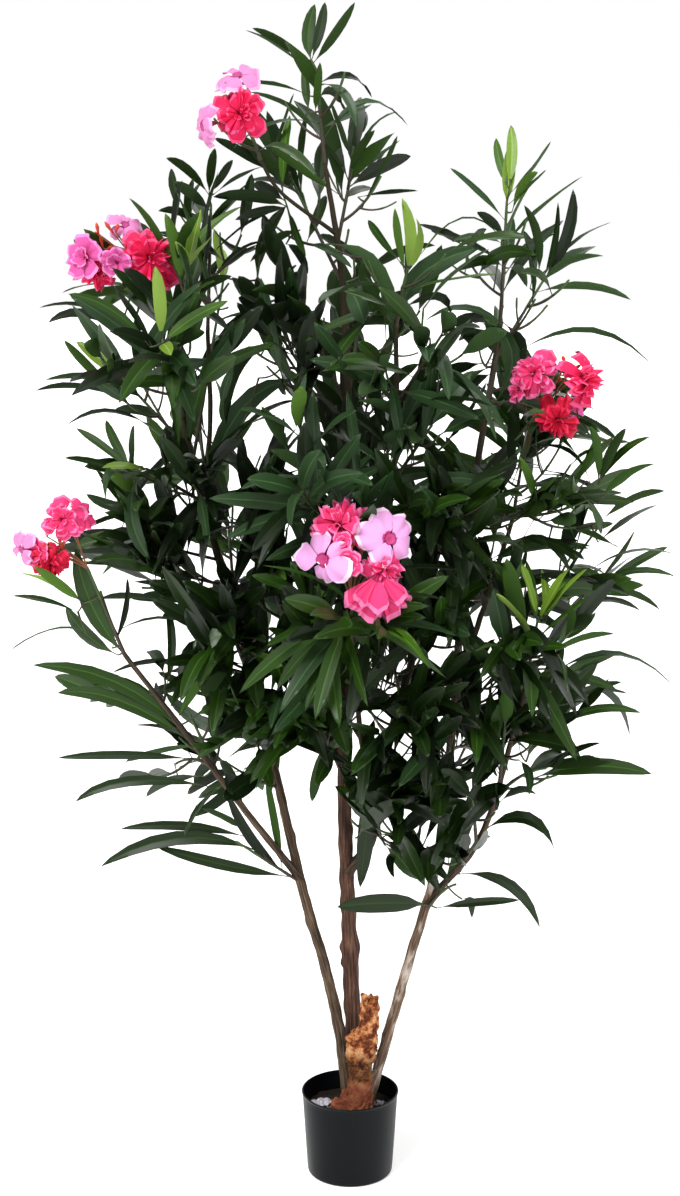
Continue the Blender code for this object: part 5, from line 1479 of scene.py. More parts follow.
# The whorls of petals in each kind of bloom: petals, length against the bloom's radius, tilt at the
# foot and at the rim (degrees up from the face), width, how much the rim is ruffled, the depth of
# the folds that run down the petal, and how uneven the petals are.
WHORLS = {
    "open": ((5, 1.12, 52.0, -10.0, 1.16, 0.115, 0.022, 1.2),),
    "double": (
        (6, 1.12, 46.0, -20.0, 1.05, 0.150, 0.035, 1.3), (6, 0.92, 60.0, 8.0, 1.00, 0.190, 0.045, 1.5),
        (5, 0.76, 72.0, 34.0, 0.95, 0.220, 0.050, 1.6), (4, 0.58, 82.0, 58.0, 0.90, 0.240, 0.050, 1.6),
    ),
    "cup": ((5, 1.16, 72.0, 22.0, 1.30, 0.100, 0.025, 0.9), (4, 0.86, 80.0, 46.0, 1.20, 0.130, 0.030, 1.2)),
    "fan": ((4, 1.55, 34.0, 8.0, 1.70, 0.030, 0.040, 0.3), (3, 1.22, 48.0, 20.0, 1.60, 0.060, 0.050, 0.7)),
}
# The share of the turn that a bloom's petals fill, hanging down from its throat; elsewhere all of it.
HANGING = {"fan": 0.29}
# How far above its centre the throat of a hanging bloom lies, against its radius, and how fast its
# petals shorten to the sides.
HANGING_DROP = 0.72
HANGING_SHORTER = 0.6
# How far back from its face a bloom's throat lies, against its radius, and a petal's thickness.
THROAT_DEPTH = 0.30
PETAL_THICKNESS = 0.00035
PETAL_ROWS = 9
PETAL_COLUMNS = 9
# How far a petal's corners are cut back and how sharply, how wide its foot is against its middle, how
# far it is askew, and how far one whorl lies above the last.
CORNER_CUT = 0.20
CORNER_POWER = 2.6
FOOT_WIDTH = 0.42
ASKEW = 0.055
WHORL_APART = 0.0009
# How petals differ, drawn at random: size, tilt in degrees, turn, and the waves across the rim and
# across the folds.
PETAL_SIZES = (-0.12, 0.06)
PETAL_TILT = 8.0
PETAL_TURN = 0.10
RIM_WAVES = (4.0, 7.0)
FOLD_WAVES = (9.0, 12.0)


def petal_points(centre, facing, radius, kind, draw):
    """All petals of one bloom: for each, a fan from the throat whose rows tilt from foot to rim.

    With v up the petal and u across it, the angle is turn + u w(v), the distance out is the reach
    times cos(tilt) and the height the reach times sin(tilt), the tilt falling evenly with v. The rim
    is rounded by shortening its corners, and waves by ruffle v^2 sin(waves u); the folds that run
    down the petal are fold sqrt(v) cos(folds u). Returns the petals' front points and back points,
    one thickness apart.
    """
    right = across(facing, draw.uniform(0.0, TURN))
    other = np.cross(facing, right)
    u = np.linspace(-1.0, 1.0, PETAL_COLUMNS)[None]
    v = np.linspace(0.0, 1.0, PETAL_ROWS)[:, None]
    fronts = []
    throat = centre
    for level, (count, share, low, high, width, ruffle, fold, uneven) in enumerate(WHORLS[kind]):
        first = draw.uniform(0.0, TURN)
        step = TURN * HANGING.get(kind, 1.0) / count
        if kind in HANGING:
            first = math.atan2(-other[2], -right[2]) - 0.5 * (count - 1) * step
            throat = centre + HANGING_DROP * radius * UP
        for k in range(count):
            size = radius * share * (1.0 + uneven * draw.uniform(*PETAL_SIZES))
            if kind in HANGING:
                size = size * math.cos((k - 0.5 * (count - 1)) * step) ** HANGING_SHORTER
            reach = size * v * (1.0 - CORNER_CUT * np.abs(u) ** CORNER_POWER * v)
            tilt = np.radians(low + (high - low) * v ** 0.8 + uneven * draw.gauss(0.0, PETAL_TILT))
            out = size * 0.05 + reach * np.cos(tilt)
            rise = reach * np.sin(tilt)
            widening = np.sin(0.5 * np.pi * np.minimum(1.0, 1.5 * v))
            spread = width * 0.5 * step * (FOOT_WIDTH + (1.0 - FOOT_WIDTH) * widening)
            turn = first + k * step + uneven * draw.gauss(0.0, PETAL_TURN)
            turn = turn + u * spread * (1.0 - 0.22 * v ** 3)
            phase = draw.uniform(0.0, TURN)
            wave = np.sin(draw.uniform(*RIM_WAVES) * u + phase) + 0.5 * np.sin(9.0 * u + 2.0 * phase)
            crimp = fold * np.sqrt(v) * np.cos(draw.uniform(*FOLD_WAVES) * u + 3.0 * phase)
            rise = rise + size * (ruffle * v ** 2 * wave + crimp + ASKEW * u * v) + level * WHORL_APART
            out = out * (1.0 + 0.03 * v * np.sin(7.0 * u + phase))
            fronts.append(np.stack((out * np.cos(turn), out * np.sin(turn), rise), axis=2))
    front = np.array(fronts)
    normal = np.cross(np.gradient(front, axis=2), np.gradient(front, axis=1))
    normal = normal / np.maximum(np.linalg.norm(normal, axis=3, keepdims=True), 1e-9)
    place = np.stack((right, other, facing))
    depth = (0.0, 0.0, THROAT_DEPTH * radius)
    return [throat + (side - depth) @ place for side in (front, front + normal * PETAL_THICKNESS)]


def shell_faces():
    """The faces of a petal: its front, its back turned over, and the rim that joins them."""
    rows, columns = PETAL_ROWS, PETAL_COLUMNS
    front = grid_quads(rows, columns, False)
    back = front[:, ::-1] + rows * columns
    top = np.arange(columns) + (rows - 1) * columns
    loop = np.concatenate((np.arange(columns), np.arange(2, rows) * columns - 1, top[::-1],
                           np.arange(rows - 2, 0, -1) * columns))
    after = np.roll(loop, -1)
    rim = np.stack((after, loop, loop + rows * columns, after + rows * columns), axis=1)
    return front, back, rim


def spun(centre, facing, profile, sides, number, lobes=0.0):
    """A surface of revolution about the facing: radius times (1 + lobes cos 5 turn), between two poles."""
    right = across(facing, 0.0)
    other = np.cross(facing, right)
    turns = np.arange(sides) * TURN / sides
    radius = np.array([r for r, _ in profile])[1:-1, None] * (1.0 + lobes * np.cos(5.0 * turns))
    height = np.array([h for _, h in profile])
    spoke = np.cos(turns)[:, None] * right + np.sin(turns)[:, None] * other
    rings = centre + radius[..., None] * spoke + height[1:-1, None, None] * facing
    return closed(rings, centre + height[0] * facing, centre + height[-1] * facing, number)


class LimbSettings(bpy.types.PropertyGroup):
    """Sizes of the bark."""

    relief: FloatProperty(name="Relief", description="Height of the bark's ridges against the radius",
                          default=0.075, min=0.0, max=0.3, subtype="FACTOR")
    ring: FloatProperty(name="Ring Spacing", description="Distance between the bark's rings",
                        default=0.0032, min=0.001, unit="LENGTH")
    sides: IntProperty(name="Sides", description="Points round a stem", default=36, min=12)


class LeafSettings(bpy.types.PropertyGroup):
    """Sizes of the leaves."""

    length: FloatProperty(name="Length", description="Length of a grown leaf", default=0.184,
                          unit="LENGTH")
    width: FloatProperty(name="Width", description="Width of a leaf against its length", default=0.142,
                         subtype="FACTOR")
    droop: FloatProperty(name="Droop", description="How far a leaf sags", default=1.00, min=0.0)


class BlossomSettings(bpy.types.PropertyGroup):
    """Sizes of the blossom."""

    size: FloatProperty(name="Size", description="Size of the blooms against life", default=1.0,
                        min=0.2, subtype="FACTOR")
    bud_length: FloatProperty(name="Bud Length", description="Length of a bud", default=0.021,
                              unit="LENGTH")


class PotSettings(bpy.types.PropertyGroup):
    """Sizes and colour of the pot."""

    height: FloatProperty(name="Height", description="Height of the pot",
                          default=POT_BOX[1][2] - POT_BOX[0][2], unit="LENGTH")
    rim: FloatProperty(name="Rim Radius", description="Radius over the lip",
                       default=(POT_BOX[1][0] - POT_BOX[0][0]) / 2.0, unit="LENGTH")
    base: FloatProperty(name="Base Radius", description="Radius at the foot of the wall",
                        default=0.0673, unit="LENGTH")
    wall: FloatProperty(name="Wall", description="Thickness of the wall", default=0.0016,
                        unit="LENGTH")
    colour: FloatVectorProperty(name="Colour", description="Colour of the plastic",
                                default=srgb("#05070A"), size=3, subtype="COLOR")


class StageSettings(bpy.types.PropertyGroup):
    """The floor, the lights and the camera."""

    floor: FloatVectorProperty(name="Floor", description="Colour of the floor",
                               default=srgb("#F4F4F4"), size=3, subtype="COLOR")
    glow: FloatProperty(name="Floor Glow", description="How far the floor lights up its own shadows",
                        default=0.42, min=0.0)
    ambient: FloatProperty(name="Ambient", description="Light from all round", default=0.36, min=0.0)
    lens: FloatProperty(name="Lens", description="Focal length", default=LENS, min=1.0,
                        unit="CAMERA")
    distance: FloatProperty(name="Distance", description="How far in front the camera stands",
                            default=-EYE[1], unit="LENGTH")
    height: FloatProperty(name="Height", description="How high the camera stands", default=EYE[2],
                          unit="LENGTH")
    pitch: FloatProperty(name="Pitch", description="How far the camera looks down",
                         default=PITCH, subtype="ANGLE")


# Leaf tones, each with its blade, rib and underside. The grey tone is painted sheen, a paler grey-green
# for leaves that catch the light.
LEAF_TONES = {
    "dark": ("#0C1A05", "#172B09", "#15270A"),
    "deep": ("#152807", "#243E0F", "#20360E"),
    "mid": ("#223D0A", "#375A19", "#304D16"),
    "grey": ("#263F20", "#3D5B33", "#344D28"),
    "fresh": ("#3C5F16", "#5C842C", "#4E7028"),
    "young": ("#6C8C2A", "#90B04C", "#7E9C42"),
}
# Printed polyester with a wax coat: the top has a soft sheen, the rib is paler, and the underside is
# duller and greyer. Each part has its name, its roughness and its specular level.
LEAF_COATS = (("leaf", 0.40, 0.34), ("rib", 0.50, 0.30), ("underside", 0.70, 0.20))


def leaf_materials():
    """The tones of the leaves, each with its blade, rib and underside."""
    return {
        tone: [surfaced(blank(f"polyester_{part}_{tone}"), Base_Color=colour, Roughness=rough, IOR=1.46,
                        Specular_IOR_Level=shine)
               for (part, rough, shine), colour in zip(LEAF_COATS, colours)]
        for tone, colours in LEAF_TONES.items()
    }


# The stops of the bark's colours, and each wood: its four tones, the pale wood under it, where that
# shows, how far the patches are drawn out, and how deep the fibres are.
BARK_STOPS = (0.32, 0.48, 0.60, 0.78)
WOODS = {
    "barked_wood_greyish_brown": (("#1F1711", "#463729", "#675240", "#8C7863"), "#B3A492",
                                  (0.67, 0.75), 0.30, 0.9),
    "barked_wood_reddish": (("#1E110C", "#422A20", "#5F4132", "#83624E"), "#7C614F",
                            (0.62, 0.76), 0.35, 1.0),
    "barked_wood_patched": (("#2F2118", "#5F4A3A", "#7C6655", "#A08C7C"), "#B5A99E",
                            (0.47, 0.60), 0.24, 0.8),
    "barked_wood_bough": (("#1A130D", "#3A2C20", "#524132", "#74604F"), "#85776A",
                          (0.70, 0.80), 0.35, 0.6),
}
# Each piece of bark: its limbs, its wood and its slot.
BARK_PIECES = {
    "bark_stem_left": (("stem_left",), "barked_wood_greyish_brown", "wood_brown"),
    "bark_stem_middle": (("stem_middle",), "barked_wood_reddish", "wood_reddish"),
    "bark_stem_right": (("stem_right",), "barked_wood_patched", "wood_greyish"),
    "bark_boughs": (tuple(BOUGHS), "barked_wood_bough", "wood_bough"),
}


def bark(context, *pieces):
    """Builds these pieces of bark."""
    for piece in pieces:
        names, wood, slot = BARK_PIECES[piece]
        tones, *rest = WOODS[wood]
        material = wood_material(wood, tuple(zip(BARK_STOPS, tones)), *rest)
        limb_piece(piece, crown_of(context), names, material, context.scene.oleander_limb)


class OLEANDER_OT_stems(bpy.types.Operator):
    """Builds the three stems, with ridged bark and knots"""

    bl_idname = "oleander.stems"
    bl_label = "Stems"

    def execute(self, context):
        bark(context, "bark_stem_left", "bark_stem_middle", "bark_stem_right")
        return {"FINISHED"}


class OLEANDER_OT_boughs(bpy.types.Operator):
    """Builds the boughs, each sunk in the limb that carries it"""

    bl_idname = "oleander.boughs"
    bl_label = "Boughs"

    def execute(self, context):
        bark(context, "bark_boughs")
        return {"FINISHED"}


# Wire in a moulded plastic sleeve: brown where old, and green toward the leaves.
TWIG_COLOURS = {"brown": "#382C1E", "olive": "#35371F", "green": "#38501F"}


class OLEANDER_OT_twigs(bpy.types.Operator):
    """Builds the twigs of every spray"""

    bl_idname = "oleander.twigs"
    bl_label = "Twigs"

    def execute(self, context):
        materials = [surfaced(blank(f"sleeved_wire_{name}"), Base_Color=colour, Roughness=0.6)
                     for name, colour in TWIG_COLOURS.items()]
        twig_piece("twigs", crown_of(context), tuple(SPRAYS), materials)
        return {"FINISHED"}


class OLEANDER_OT_leaves(bpy.types.Operator):
    """Builds the leaves, joined into one piece for each side of the crown"""

    bl_idname = "oleander.leaves"
    bl_label = "Leaves"

    def execute(self, context):
        tones = leaf_materials()
        stalk = surfaced(blank("leaf_stalk_green"), Base_Color="#2F3D1C", Roughness=0.55)
        for name, sprays in LEAF_PIECES.items():
            leaf_piece(name, crown_of(context), sprays, tones, stalk)
        return {"FINISHED"}


# Petals of dyed polyester cloth, heat-set: matt with a faint bloom. Each tone has its throat, darkened
# as painted shade in the bloom's depth, its blade and its paler rim, and the throat takes up the first
# rows of a petal.
PETAL_TONES = {
    "red": ("#8E0A26", "#D0123A", "#E22C56"),
    "hot": ("#B40E40", "#E42058", "#F4568A"),
    "rose": ("#AE1850", "#E83C78", "#F27CB0"),
    "mid": ("#B0306A", "#DA58A0", "#EC8AC8"),
    "lilac": ("#B84C86", "#DA88BE", "#E8AAD6"),
    "pale": ("#C04480", "#E4A2D8", "#F4D2EE"),
}
PETAL_PARTS = ("throat", "blade", "rim")
SHADED_THROAT_ROWS = 2

# Small plastic parts of the blossom, and their materials in the order of their numbers.
STALK_COLOURS = {"bloom_stalk_reddish": ("#8E5A3A", 0.6), "calyx_russet": ("#9A4A2C", 0.6),
                 "bud_orange_red": ("#D24A2C", 0.55)}
BLOOM_STALK, CALYX, BUD = range(3)

# The calyx, as radius and height over the throat's foot, and how far its five lobes stand out.
CALYX_PROFILE = ((0.0, -0.0195), (0.0022, -0.0190), (0.0027, -0.0160), (0.0032, -0.0120),
                 (0.0016, -0.0125), (0.0, -0.013))
CALYX_LOBES = 0.22
BUD_LOBES = 0.10
BLOOM_STALK_RADIUS = 0.0012
BUD_STALK_RADIUS = 0.0010
# Each cluster's buds: how many, how far they scatter round its centre, and how their sizes vary.
BUDS = 6
BUD_SCATTER = 0.016
BUD_SIZES = (0.6, 1.1)


def thin_stalk(start, middle, end, radius):
    """A thin round stalk on a bent path: its points, and its faces with their material."""
    path = arch(start, middle, end, 11)[None]
    faces = capped_tube(path.shape[1], STALK_SIDES)
    points = tubes(path, np.full(path.shape[:2], radius), STALK_SIDES)
    return points, *((face_set, BLOOM_STALK) for face_set in faces)


class OLEANDER_OT_blossom(bpy.types.Operator):
    """Builds the five clusters of blossom: petals, tubes, calyxes, stalks and buds"""

    bl_idname = "oleander.blossom"
    bl_label = "Blossom"

    def execute(self, context):
        crown = crown_of(context)
        settings = context.scene.oleander_blossom
        petals = Parts()
        stalks = Parts()
        front, back, rim = shell_faces()
        rows = np.repeat(np.arange(PETAL_ROWS - 1), PETAL_COLUMNS - 1)
        # The first rows of each petal take the throat's colour, darkened as painted shade in the bloom's
        # depth.
        band = np.digitize(rows, (SHADED_THROAT_ROWS, PETAL_ROWS - 2))
        stride = 2 * PETAL_ROWS * PETAL_COLUMNS
        tones = list(PETAL_TONES)
        for name, (centre, blooms) in CLUSTERS.items():
            twig = crown.mains[name]
            tip = twig[-1]
            centre = seen(*centre)
            draw = random.Random(f"blossom of {name}")
            for place, azimuth, elevation, radius, kind, tone in blooms:
                face = seen(*place)
                facing = heading(azimuth, elevation)
                radius = radius * settings.size
                sides = petal_points(face, facing, radius, kind, draw)
                count = len(sides[0])
                first = len(PETAL_PARTS) * tones.index(tone)
                petals.add(
                    np.stack(sides, axis=1),
                    (repeated(front, count, stride), np.tile(first + band, count)),
                    (repeated(back, count, stride), np.tile(first + band, count)),
                    (repeated(rim, count, stride), first + PETAL_PARTS.index("rim")),
                )
                # The tube below the throat is wide as the petals' feet, and thin at the calyx.
                foot = face - facing * THROAT_DEPTH * radius
                tube = ((0.0, 0.0), (0.20 * radius, 0.17 * radius), (0.20 * radius, 0.16 * radius),
                        (0.0034, -0.006), (0.0019, -0.017), (0.0, -0.0175))
                # The tube is in the throat's colour, darkened as painted shade.
                petals.add(*spun(foot, facing, tube, 10, first))
                stalks.add(*spun(foot, facing, CALYX_PROFILE, 20, CALYX, CALYX_LOBES))
                end = foot - facing * 0.0185
                middle = (tip + end) / 2.0 - facing * 0.010 + UP * 0.004
                start = tip - unit(tip - twig[-3]) * 0.003
                stalks.add(*thin_stalk(start, middle, end, BLOOM_STALK_RADIUS))
            for _ in range(BUDS):
                bud_facing = heading(draw.uniform(-60.0, 60.0), draw.uniform(15.0, 75.0))
                foot = centre + np.array([draw.uniform(-BUD_SCATTER, BUD_SCATTER) for _ in range(3)])
                size = settings.bud_length * draw.uniform(*BUD_SIZES)
                bud = ((0.0, 0.0), (0.0014, 0.0006), (0.0017, 0.3 * size), (0.0028, 0.62 * size),
                       (0.0019, 0.86 * size), (0.0, size))
                stalks.add(*spun(foot, bud_facing, bud, 10, BUD, BUD_LOBES))
                stalks.add(*thin_stalk(tip, (tip + foot) / 2.0 + UP * 0.006, foot, BUD_STALK_RADIUS))
        blooms = petals.piece("petals", [
            surfaced(blank(f"silk_petal_{tone}_{part}"), Base_Color=colour, Roughness=0.68,
                     Specular_IOR_Level=0.25)
            for tone, colours in PETAL_TONES.items() for part, colour in zip(PETAL_PARTS, colours)
        ], 80.0)
        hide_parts(*CLUSTERS)
        small = stalks.piece("bloom_stalks_and_buds", [
            surfaced(blank(name), Base_Color=colour, Roughness=rough)
            for name, (colour, rough) in STALK_COLOURS.items()
        ])
        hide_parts(*CLUSTERS)
        return {"FINISHED"}


# The heaps of mortar in the pot: each one's place across and away, and its reach.
MORTAR_HEAPS = ((-0.045, 0.012, 0.018), (0.046, 0.010, 0.009))

# The stub of cork bark: heights above the pot's foot, the axis's place across and away, and the
# half widths across and away at each height.
STUB_PROFILE = (
    (GROUND, 0.0150, -0.0240, 0.0200, 0.0135),
    (0.1500, 0.0160, -0.0240, 0.0190, 0.0135),
    (0.1900, 0.0160, -0.0235, 0.0195, 0.0135),
    (0.2020, 0.0168, -0.0235, 0.0240, 0.0140),
    (0.2330, 0.0180, -0.0230, 0.0240, 0.0140),
    (0.2430, 0.0235, -0.0225, 0.0195, 0.0135),
    (0.2510, 0.0295, -0.0220, 0.0150, 0.0130),
    (0.2960, 0.0310, -0.0220, 0.0140, 0.0125),
)
# Its swellings and crumbs, as heights against the half widths with their waves, and its ledges.
STUB_WAVES = ((0.055, 10, (1, 5), (0.012, 0.045)), (0.030, 14, (5, 16), (0.005, 0.018)))
STUB_LEDGES = (5, (1, 4), (0.02, 0.05))
LEDGE_HEIGHT = 0.05
# The rings of its torn top, against the last of its sides, how far the tears rise and fall round it
# and over it, and how far the middle is sunk.
STUB_TOP = (0.82, 0.58, 0.30)
TORN_ROUND = (0.0042, 6, (1, 7), (1.0, 2.0))
TORN_OVER = (0.0028, 5, (2, 9), (1.0, 2.0))
STUB_SUNK = 0.002
# The lump at its foot: half a ball, where it stands, how far it is sunk, and its three half sizes.
LUMP_CENTRE = (0.003, -0.032)
LUMP_FOOT = FILL_TOP - 0.004
LUMP_SIZE = (0.034, 0.020, 0.044)
LUMP_WAVES = ((0.11, 9, (2, 6), (0.5, 1.6)), (0.06, 12, (6, 18), (0.15, 0.5)))


class OLEANDER_OT_stub(bpy.types.Operator):
    """Builds the broken stub of cork bark and the lump at its foot"""

    bl_idname = "oleander.stub"
    bl_label = "Bark Stub"

    def execute(self, context):
        draw = random.Random("cork")
        parts = Parts()
        table = np.array(STUB_PROFILE)
        height = np.linspace(table[0, 0], table[-1, 0], 110)[:, None]
        turn = round_turns(96)
        x, y, wide, deep = (np.interp(height, table[:, 0], table[:, k]) for k in (1, 2, 3, 4))
        rough = roughened(0.0, turn, height, draw, STUB_WAVES)
        rough = 1.0 + (rough + LEDGE_HEIGHT * np.sign(waves(turn, height, draw, *STUB_LEDGES)))
        share = np.linspace(0.0, 1.0, len(height))[:, None]
        jag = roughened(0.0, turn, turn * 0.0, draw, [TORN_ROUND])
        points = np.stack((x + wide * rough * np.cos(turn), y + deep * rough * np.sin(turn),
                           height + (jag - 0.003 * np.cos(turn)) * share ** 8), axis=2)
        centre = table[-1, (1, 2, 0)]
        shrink = np.array([(s, s, 0.5 + 0.5 * s) for s in STUB_TOP])
        torn = centre + (points[-1][None] - centre) * shrink[:, None]
        torn[..., 2] = roughened(torn[..., 2], turn, turn * 0.0, draw, [TORN_OVER])
        pole = torn[-1].mean(axis=0) - (0.0, 0.0, STUB_SUNK)
        parts.add(*closed(np.concatenate((points, torn)), table[0, (1, 2, 0)], pole))
        up = np.linspace(0.02, 0.5 * math.pi - 0.03, 40)[:, None]
        turn = round_turns(80)
        rough = roughened(1.0, turn, up, draw, LUMP_WAVES)
        lump = np.stack((LUMP_CENTRE[0] + LUMP_SIZE[0] * np.cos(up) * np.cos(turn) * rough,
                         LUMP_CENTRE[1] + LUMP_SIZE[1] * np.cos(up) * np.sin(turn) * rough,
                         LUMP_FOOT + LUMP_SIZE[2] * np.sin(up) * rough), axis=2)
        parts.add(*closed(lump, (*LUMP_CENTRE, LUMP_FOOT), lump[-1].mean(axis=0)))
        stub = parts.piece("cork_stub", [cork_material()], 50.0)
        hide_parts("root_stub")
        return {"FINISHED"}


# The pot: how far the lip stands out past the wall, how deep the lip is, the radius of the foot's
# edge, the floor's thickness, and how far the filling stands clear of the wall and the floor.
LIP = 0.0010
LIP_DEPTH = 0.0042
FOOT_EDGE = 0.0045
FLOOR = 0.003
FILL_GAP = 0.0005
# The moulding seam in front and the notch where it meets the lip: height, and width as an angle.
SEAM = (0.00022, 0.012)
NOTCH = (0.0012, 0.014)
# The filling: how far its plain top lies under the highest node, how many crumbs and how many lumps
# on each heap, and the sizes and rises of both.
FILL_SUNK = 0.0012
CRUMBS = 70
HEAP_LUMPS = 16
CRUMB_SIZES, CRUMB_RISES = (0.003, 0.009), (0.0008, 0.0030)
HEAP_SIZES, HEAP_RISES = (0.004, 0.008), (0.003, 0.0075)


def inner_radius(pot, height):
    """The radius inside the wall, which narrows evenly from the lip to the foot."""
    return pot.rim - LIP - pot.wall - (pot.rim - pot.base) * (1.0 - height / pot.height)


def arc(centre, height, radius, start, end, count):
    """Points of a profile on an arc, from one angle to the other in degrees."""
    return [(centre + radius * math.cos(a), height + radius * math.sin(a))
            for a in np.radians(np.linspace(start, end, count))]


class OLEANDER_OT_pot(bpy.types.Operator):
    """Builds the pot and its rough filling"""

    bl_idname = "oleander.pot"
    bl_label = "Pot and Filling"

    def execute(self, context):
        pot = context.scene.oleander_pot
        top, rim, base = pot.height, pot.rim, pot.base
        # Outside from the foot's rounded edge up to the lip, over it, and down inside to the floor.
        half = (LIP + pot.wall) / 2.0
        profile = [(0.0, 0.0), (0.5 * base, 0.0), *arc(base - FOOT_EDGE, FOOT_EDGE, FOOT_EDGE, -90.0, 0.0, 7)]
        profile += [(base + (rim - LIP - base) * h / top, h)
                    for h in np.linspace(0.012, top - LIP_DEPTH - 0.001, 24)]
        profile += arc(rim - half, top - half, half, -60.0, 180.0, 11)
        outside = len(profile) - 4
        profile += [(inner_radius(pot, h), h) for h in np.linspace(top - 0.004, 0.004, 16)]
        profile += [(0.5 * base, FLOOR), (0.0, FLOOR)]
        radius, height = (np.array(column)[1:-1, None] for column in zip(*profile))
        turn = round_turns(160)
        front = np.angle(np.exp(1j * (turn + 0.5 * math.pi)))
        outer = (np.arange(len(profile)) < outside)[1:-1, None]
        ring = radius + SEAM[0] * np.exp(-(front / SEAM[1]) ** 2) * outer
        notch = NOTCH[0] * np.exp(-(front / NOTCH[1]) ** 2) * (height > top - 0.0022)
        rows = np.stack((ring * np.cos(turn), ring * np.sin(turn), height - notch), axis=2)
        parts = Parts()
        parts.add(*closed(rows, (0.0, 0.0, 0.0), (0.0, 0.0, FLOOR)))
        piece = parts.piece("pot_shell", [pot_material(tuple(pot.colour))], 40.0)
        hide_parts("pot")
        self.filling(pot)
        return {"FINISHED"}

    def filling(self, pot):
        """The filling: its top is a disc raised into lumps, and its side runs down inside the wall."""
        draw = random.Random("mortar")
        wide = inner_radius(pot, FILL_TOP) - FILL_GAP
        low = inner_radius(pot, 0.0) - FILL_GAP
        foot = FLOOR + 0.0002
        turn = round_turns(120)
        share = np.linspace(1.0, 0.02, 46)[:, None]
        x = wide * share * np.cos(turn)
        y = wide * share * np.sin(turn)
        height = np.full(x.shape, FILL_TOP - FILL_SUNK)
        heaps = [heap for heap in MORTAR_HEAPS for _ in range(HEAP_LUMPS)]
        for heap in [None] * CRUMBS + heaps:
            way, out = draw.uniform(0.0, TURN), wide * math.sqrt(draw.random()) * 0.97
            size, rise = draw.uniform(*CRUMB_SIZES), draw.uniform(*CRUMB_RISES)
            at = (out * math.cos(way), out * math.sin(way))
            if heap:
                at = [heap[k] + heap[2] * draw.uniform(-0.9, 0.9) for k in (0, 1)]
                size, rise = draw.uniform(*HEAP_SIZES), draw.uniform(*HEAP_RISES)
            near = ((x - at[0]) ** 2 + (y - at[1]) ** 2) / size ** 2
            height = np.maximum(height, FILL_TOP - FILL_SUNK + rise * np.sqrt(np.maximum(0.0, 1.0 - near)))
        side = np.stack((low * np.cos(turn), low * np.sin(turn), turn * 0.0 + foot), axis=2)
        rows = np.concatenate((side, np.stack((x, y, height), axis=2)))
        parts = Parts()
        parts.add(*closed(rows, (0.0, 0.0, foot), (0.0, 0.0, FILL_TOP)))
        piece = parts.piece("mortar_filling", [cement_material()], 60.0)
        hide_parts("pot_fill")


# How far the floor reaches, and the large softboxes, far off: each one's strength, the degrees right
# of the front and up that it shines from, and its breadth in degrees.
FLOOR_REACH = 30.0
LAMPS = {
    "key": (2.5, -38.0, 48.0, 24.0),
    "fill": (1.0, 48.0, 22.0, 40.0),
    "over": (0.9, 10.0, 82.0, 50.0),
    "rear": (0.9, 165.0, 38.0, 40.0),
}
LAMP_DISTANCE = 5.0


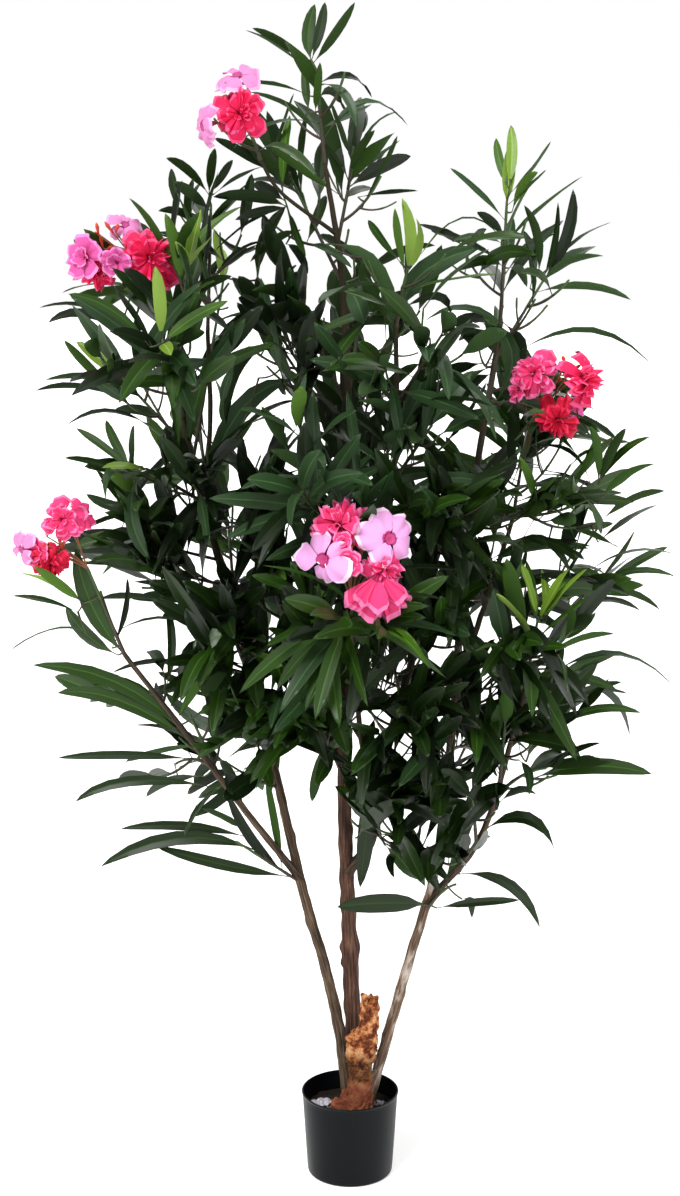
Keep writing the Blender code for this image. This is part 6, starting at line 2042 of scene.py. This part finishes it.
class OLEANDER_OT_stage(bpy.types.Operator):
    """Builds the floor, the lights and the camera"""

    bl_idname = "oleander.stage"
    bl_label = "Stage"

    def execute(self, context):
        scene = context.scene
        stage = scene.oleander_stage
        mesh = bpy.data.meshes.new("floor")
        corners = [(x * FLOOR_REACH, y * FLOOR_REACH, 0.0) for x, y in ((-1, -1), (1, -1), (1, 1), (-1, 1))]
        mesh.from_pydata(corners, [], [(0, 1, 2, 3)])
        # Painted studio floor: matt and nearly white, and lit from within enough to keep shadows pale.
        mesh.materials.append(surfaced(
            blank("studio_floor_matt"), Base_Color=(*stage.floor, 1.0), Roughness=0.9,
            Emission_Color=(1.0, 1.0, 1.0, 1.0), Emission_Strength=stage.glow))
        floor = bpy.data.objects.new("floor", mesh)
        scene.collection.objects.link(floor)
        for name, (strength, azimuth, elevation, breadth) in LAMPS.items():
            lamp = bpy.data.lights.new(name, "SUN")
            lamp.energy = strength
            lamp.angle = math.radians(breadth)
            holder = bpy.data.objects.new(name, lamp)
            holder.location = heading(azimuth, elevation) * LAMP_DISTANCE
            holder.rotation_euler = (math.radians(90.0 - elevation), 0.0, math.radians(azimuth))
            scene.collection.objects.link(holder)
        # The backdrop is white where it is seen, and throws a softer, dimmer light on the plant.
        world = bpy.data.worlds.new("studio")
        world.use_nodes = True
        tree = world.node_tree
        backdrop = tree.nodes["Background"]
        backdrop.inputs["Color"].default_value = (1.0, 1.0, 1.0, 1.0)
        around = add_node(world, "Background", {"Color": (1.0, 0.99, 0.97, 1.0), "Strength": stage.ambient})
        direct = add_node(world, "LightPath", {}, "Is Camera Ray")
        both = add_node(world, "MixShader", {0: direct, 1: around, 2: backdrop.outputs["Background"]})
        set_inputs(tree, tree.nodes["World Output"], {"Surface": both})
        scene.world = world
        scene.view_settings.view_transform = "Standard"
        data = bpy.data.cameras.new("camera")
        data.lens = stage.lens
        camera = bpy.data.objects.new("camera", data)
        camera.location = (EYE[0], -stage.distance, stage.height)
        camera.rotation_euler = (0.5 * math.pi - stage.pitch, 0.0, 0.0)
        scene.collection.objects.link(camera)
        scene.camera = camera
        return {"FINISHED"}


OPERATORS = (
    OLEANDER_OT_pot,
    OLEANDER_OT_stub,
    OLEANDER_OT_stems,
    OLEANDER_OT_boughs,
    OLEANDER_OT_twigs,
    OLEANDER_OT_leaves,
    OLEANDER_OT_blossom,
    OLEANDER_OT_stage,
)

GROUPS = {
    "oleander_limb": LimbSettings,
    "oleander_leaf": LeafSettings,
    "oleander_blossom": BlossomSettings,
    "oleander_pot": PotSettings,
    "oleander_stage": StageSettings,
}


class OLEANDER_PT_panel(bpy.types.Panel):
    """Lists the sizes and the steps of the oleander"""

    bl_label = "Oleander"
    bl_idname = "OLEANDER_PT_panel"
    bl_space_type = "VIEW_3D"
    bl_region_type = "UI"
    bl_category = "Oleander"

    def draw(self, context):
        for name, group in GROUPS.items():
            box = self.layout.box()
            settings = getattr(context.scene, name)
            for key in group.__annotations__:
                box.prop(settings, key)
        for operator in OPERATORS:
            self.layout.operator(operator.bl_idname)


def register():
    """Registers the settings, the operators and the panel."""
    for name, group in GROUPS.items():
        bpy.utils.register_class(group)
        setattr(bpy.types.Scene, name, PointerProperty(type=group))
    for operator in OPERATORS:
        bpy.utils.register_class(operator)
    bpy.utils.register_class(OLEANDER_PT_panel)


def unregister():
    """Takes them away again."""
    bpy.utils.unregister_class(OLEANDER_PT_panel)
    for operator in reversed(OPERATORS):
        bpy.utils.unregister_class(operator)
    for name, group in reversed(GROUPS.items()):
        delattr(bpy.types.Scene, name)
        bpy.utils.unregister_class(group)


def main():
    """Builds every piece in order."""
    register()
    bpy.ops.oleander.pot()
    bpy.ops.oleander.stub()
    bpy.ops.oleander.stems()
    bpy.ops.oleander.boughs()
    bpy.ops.oleander.twigs()
    bpy.ops.oleander.leaves()
    bpy.ops.oleander.blossom()
    bpy.ops.oleander.stage()


if __name__ == "__main__":
    main()
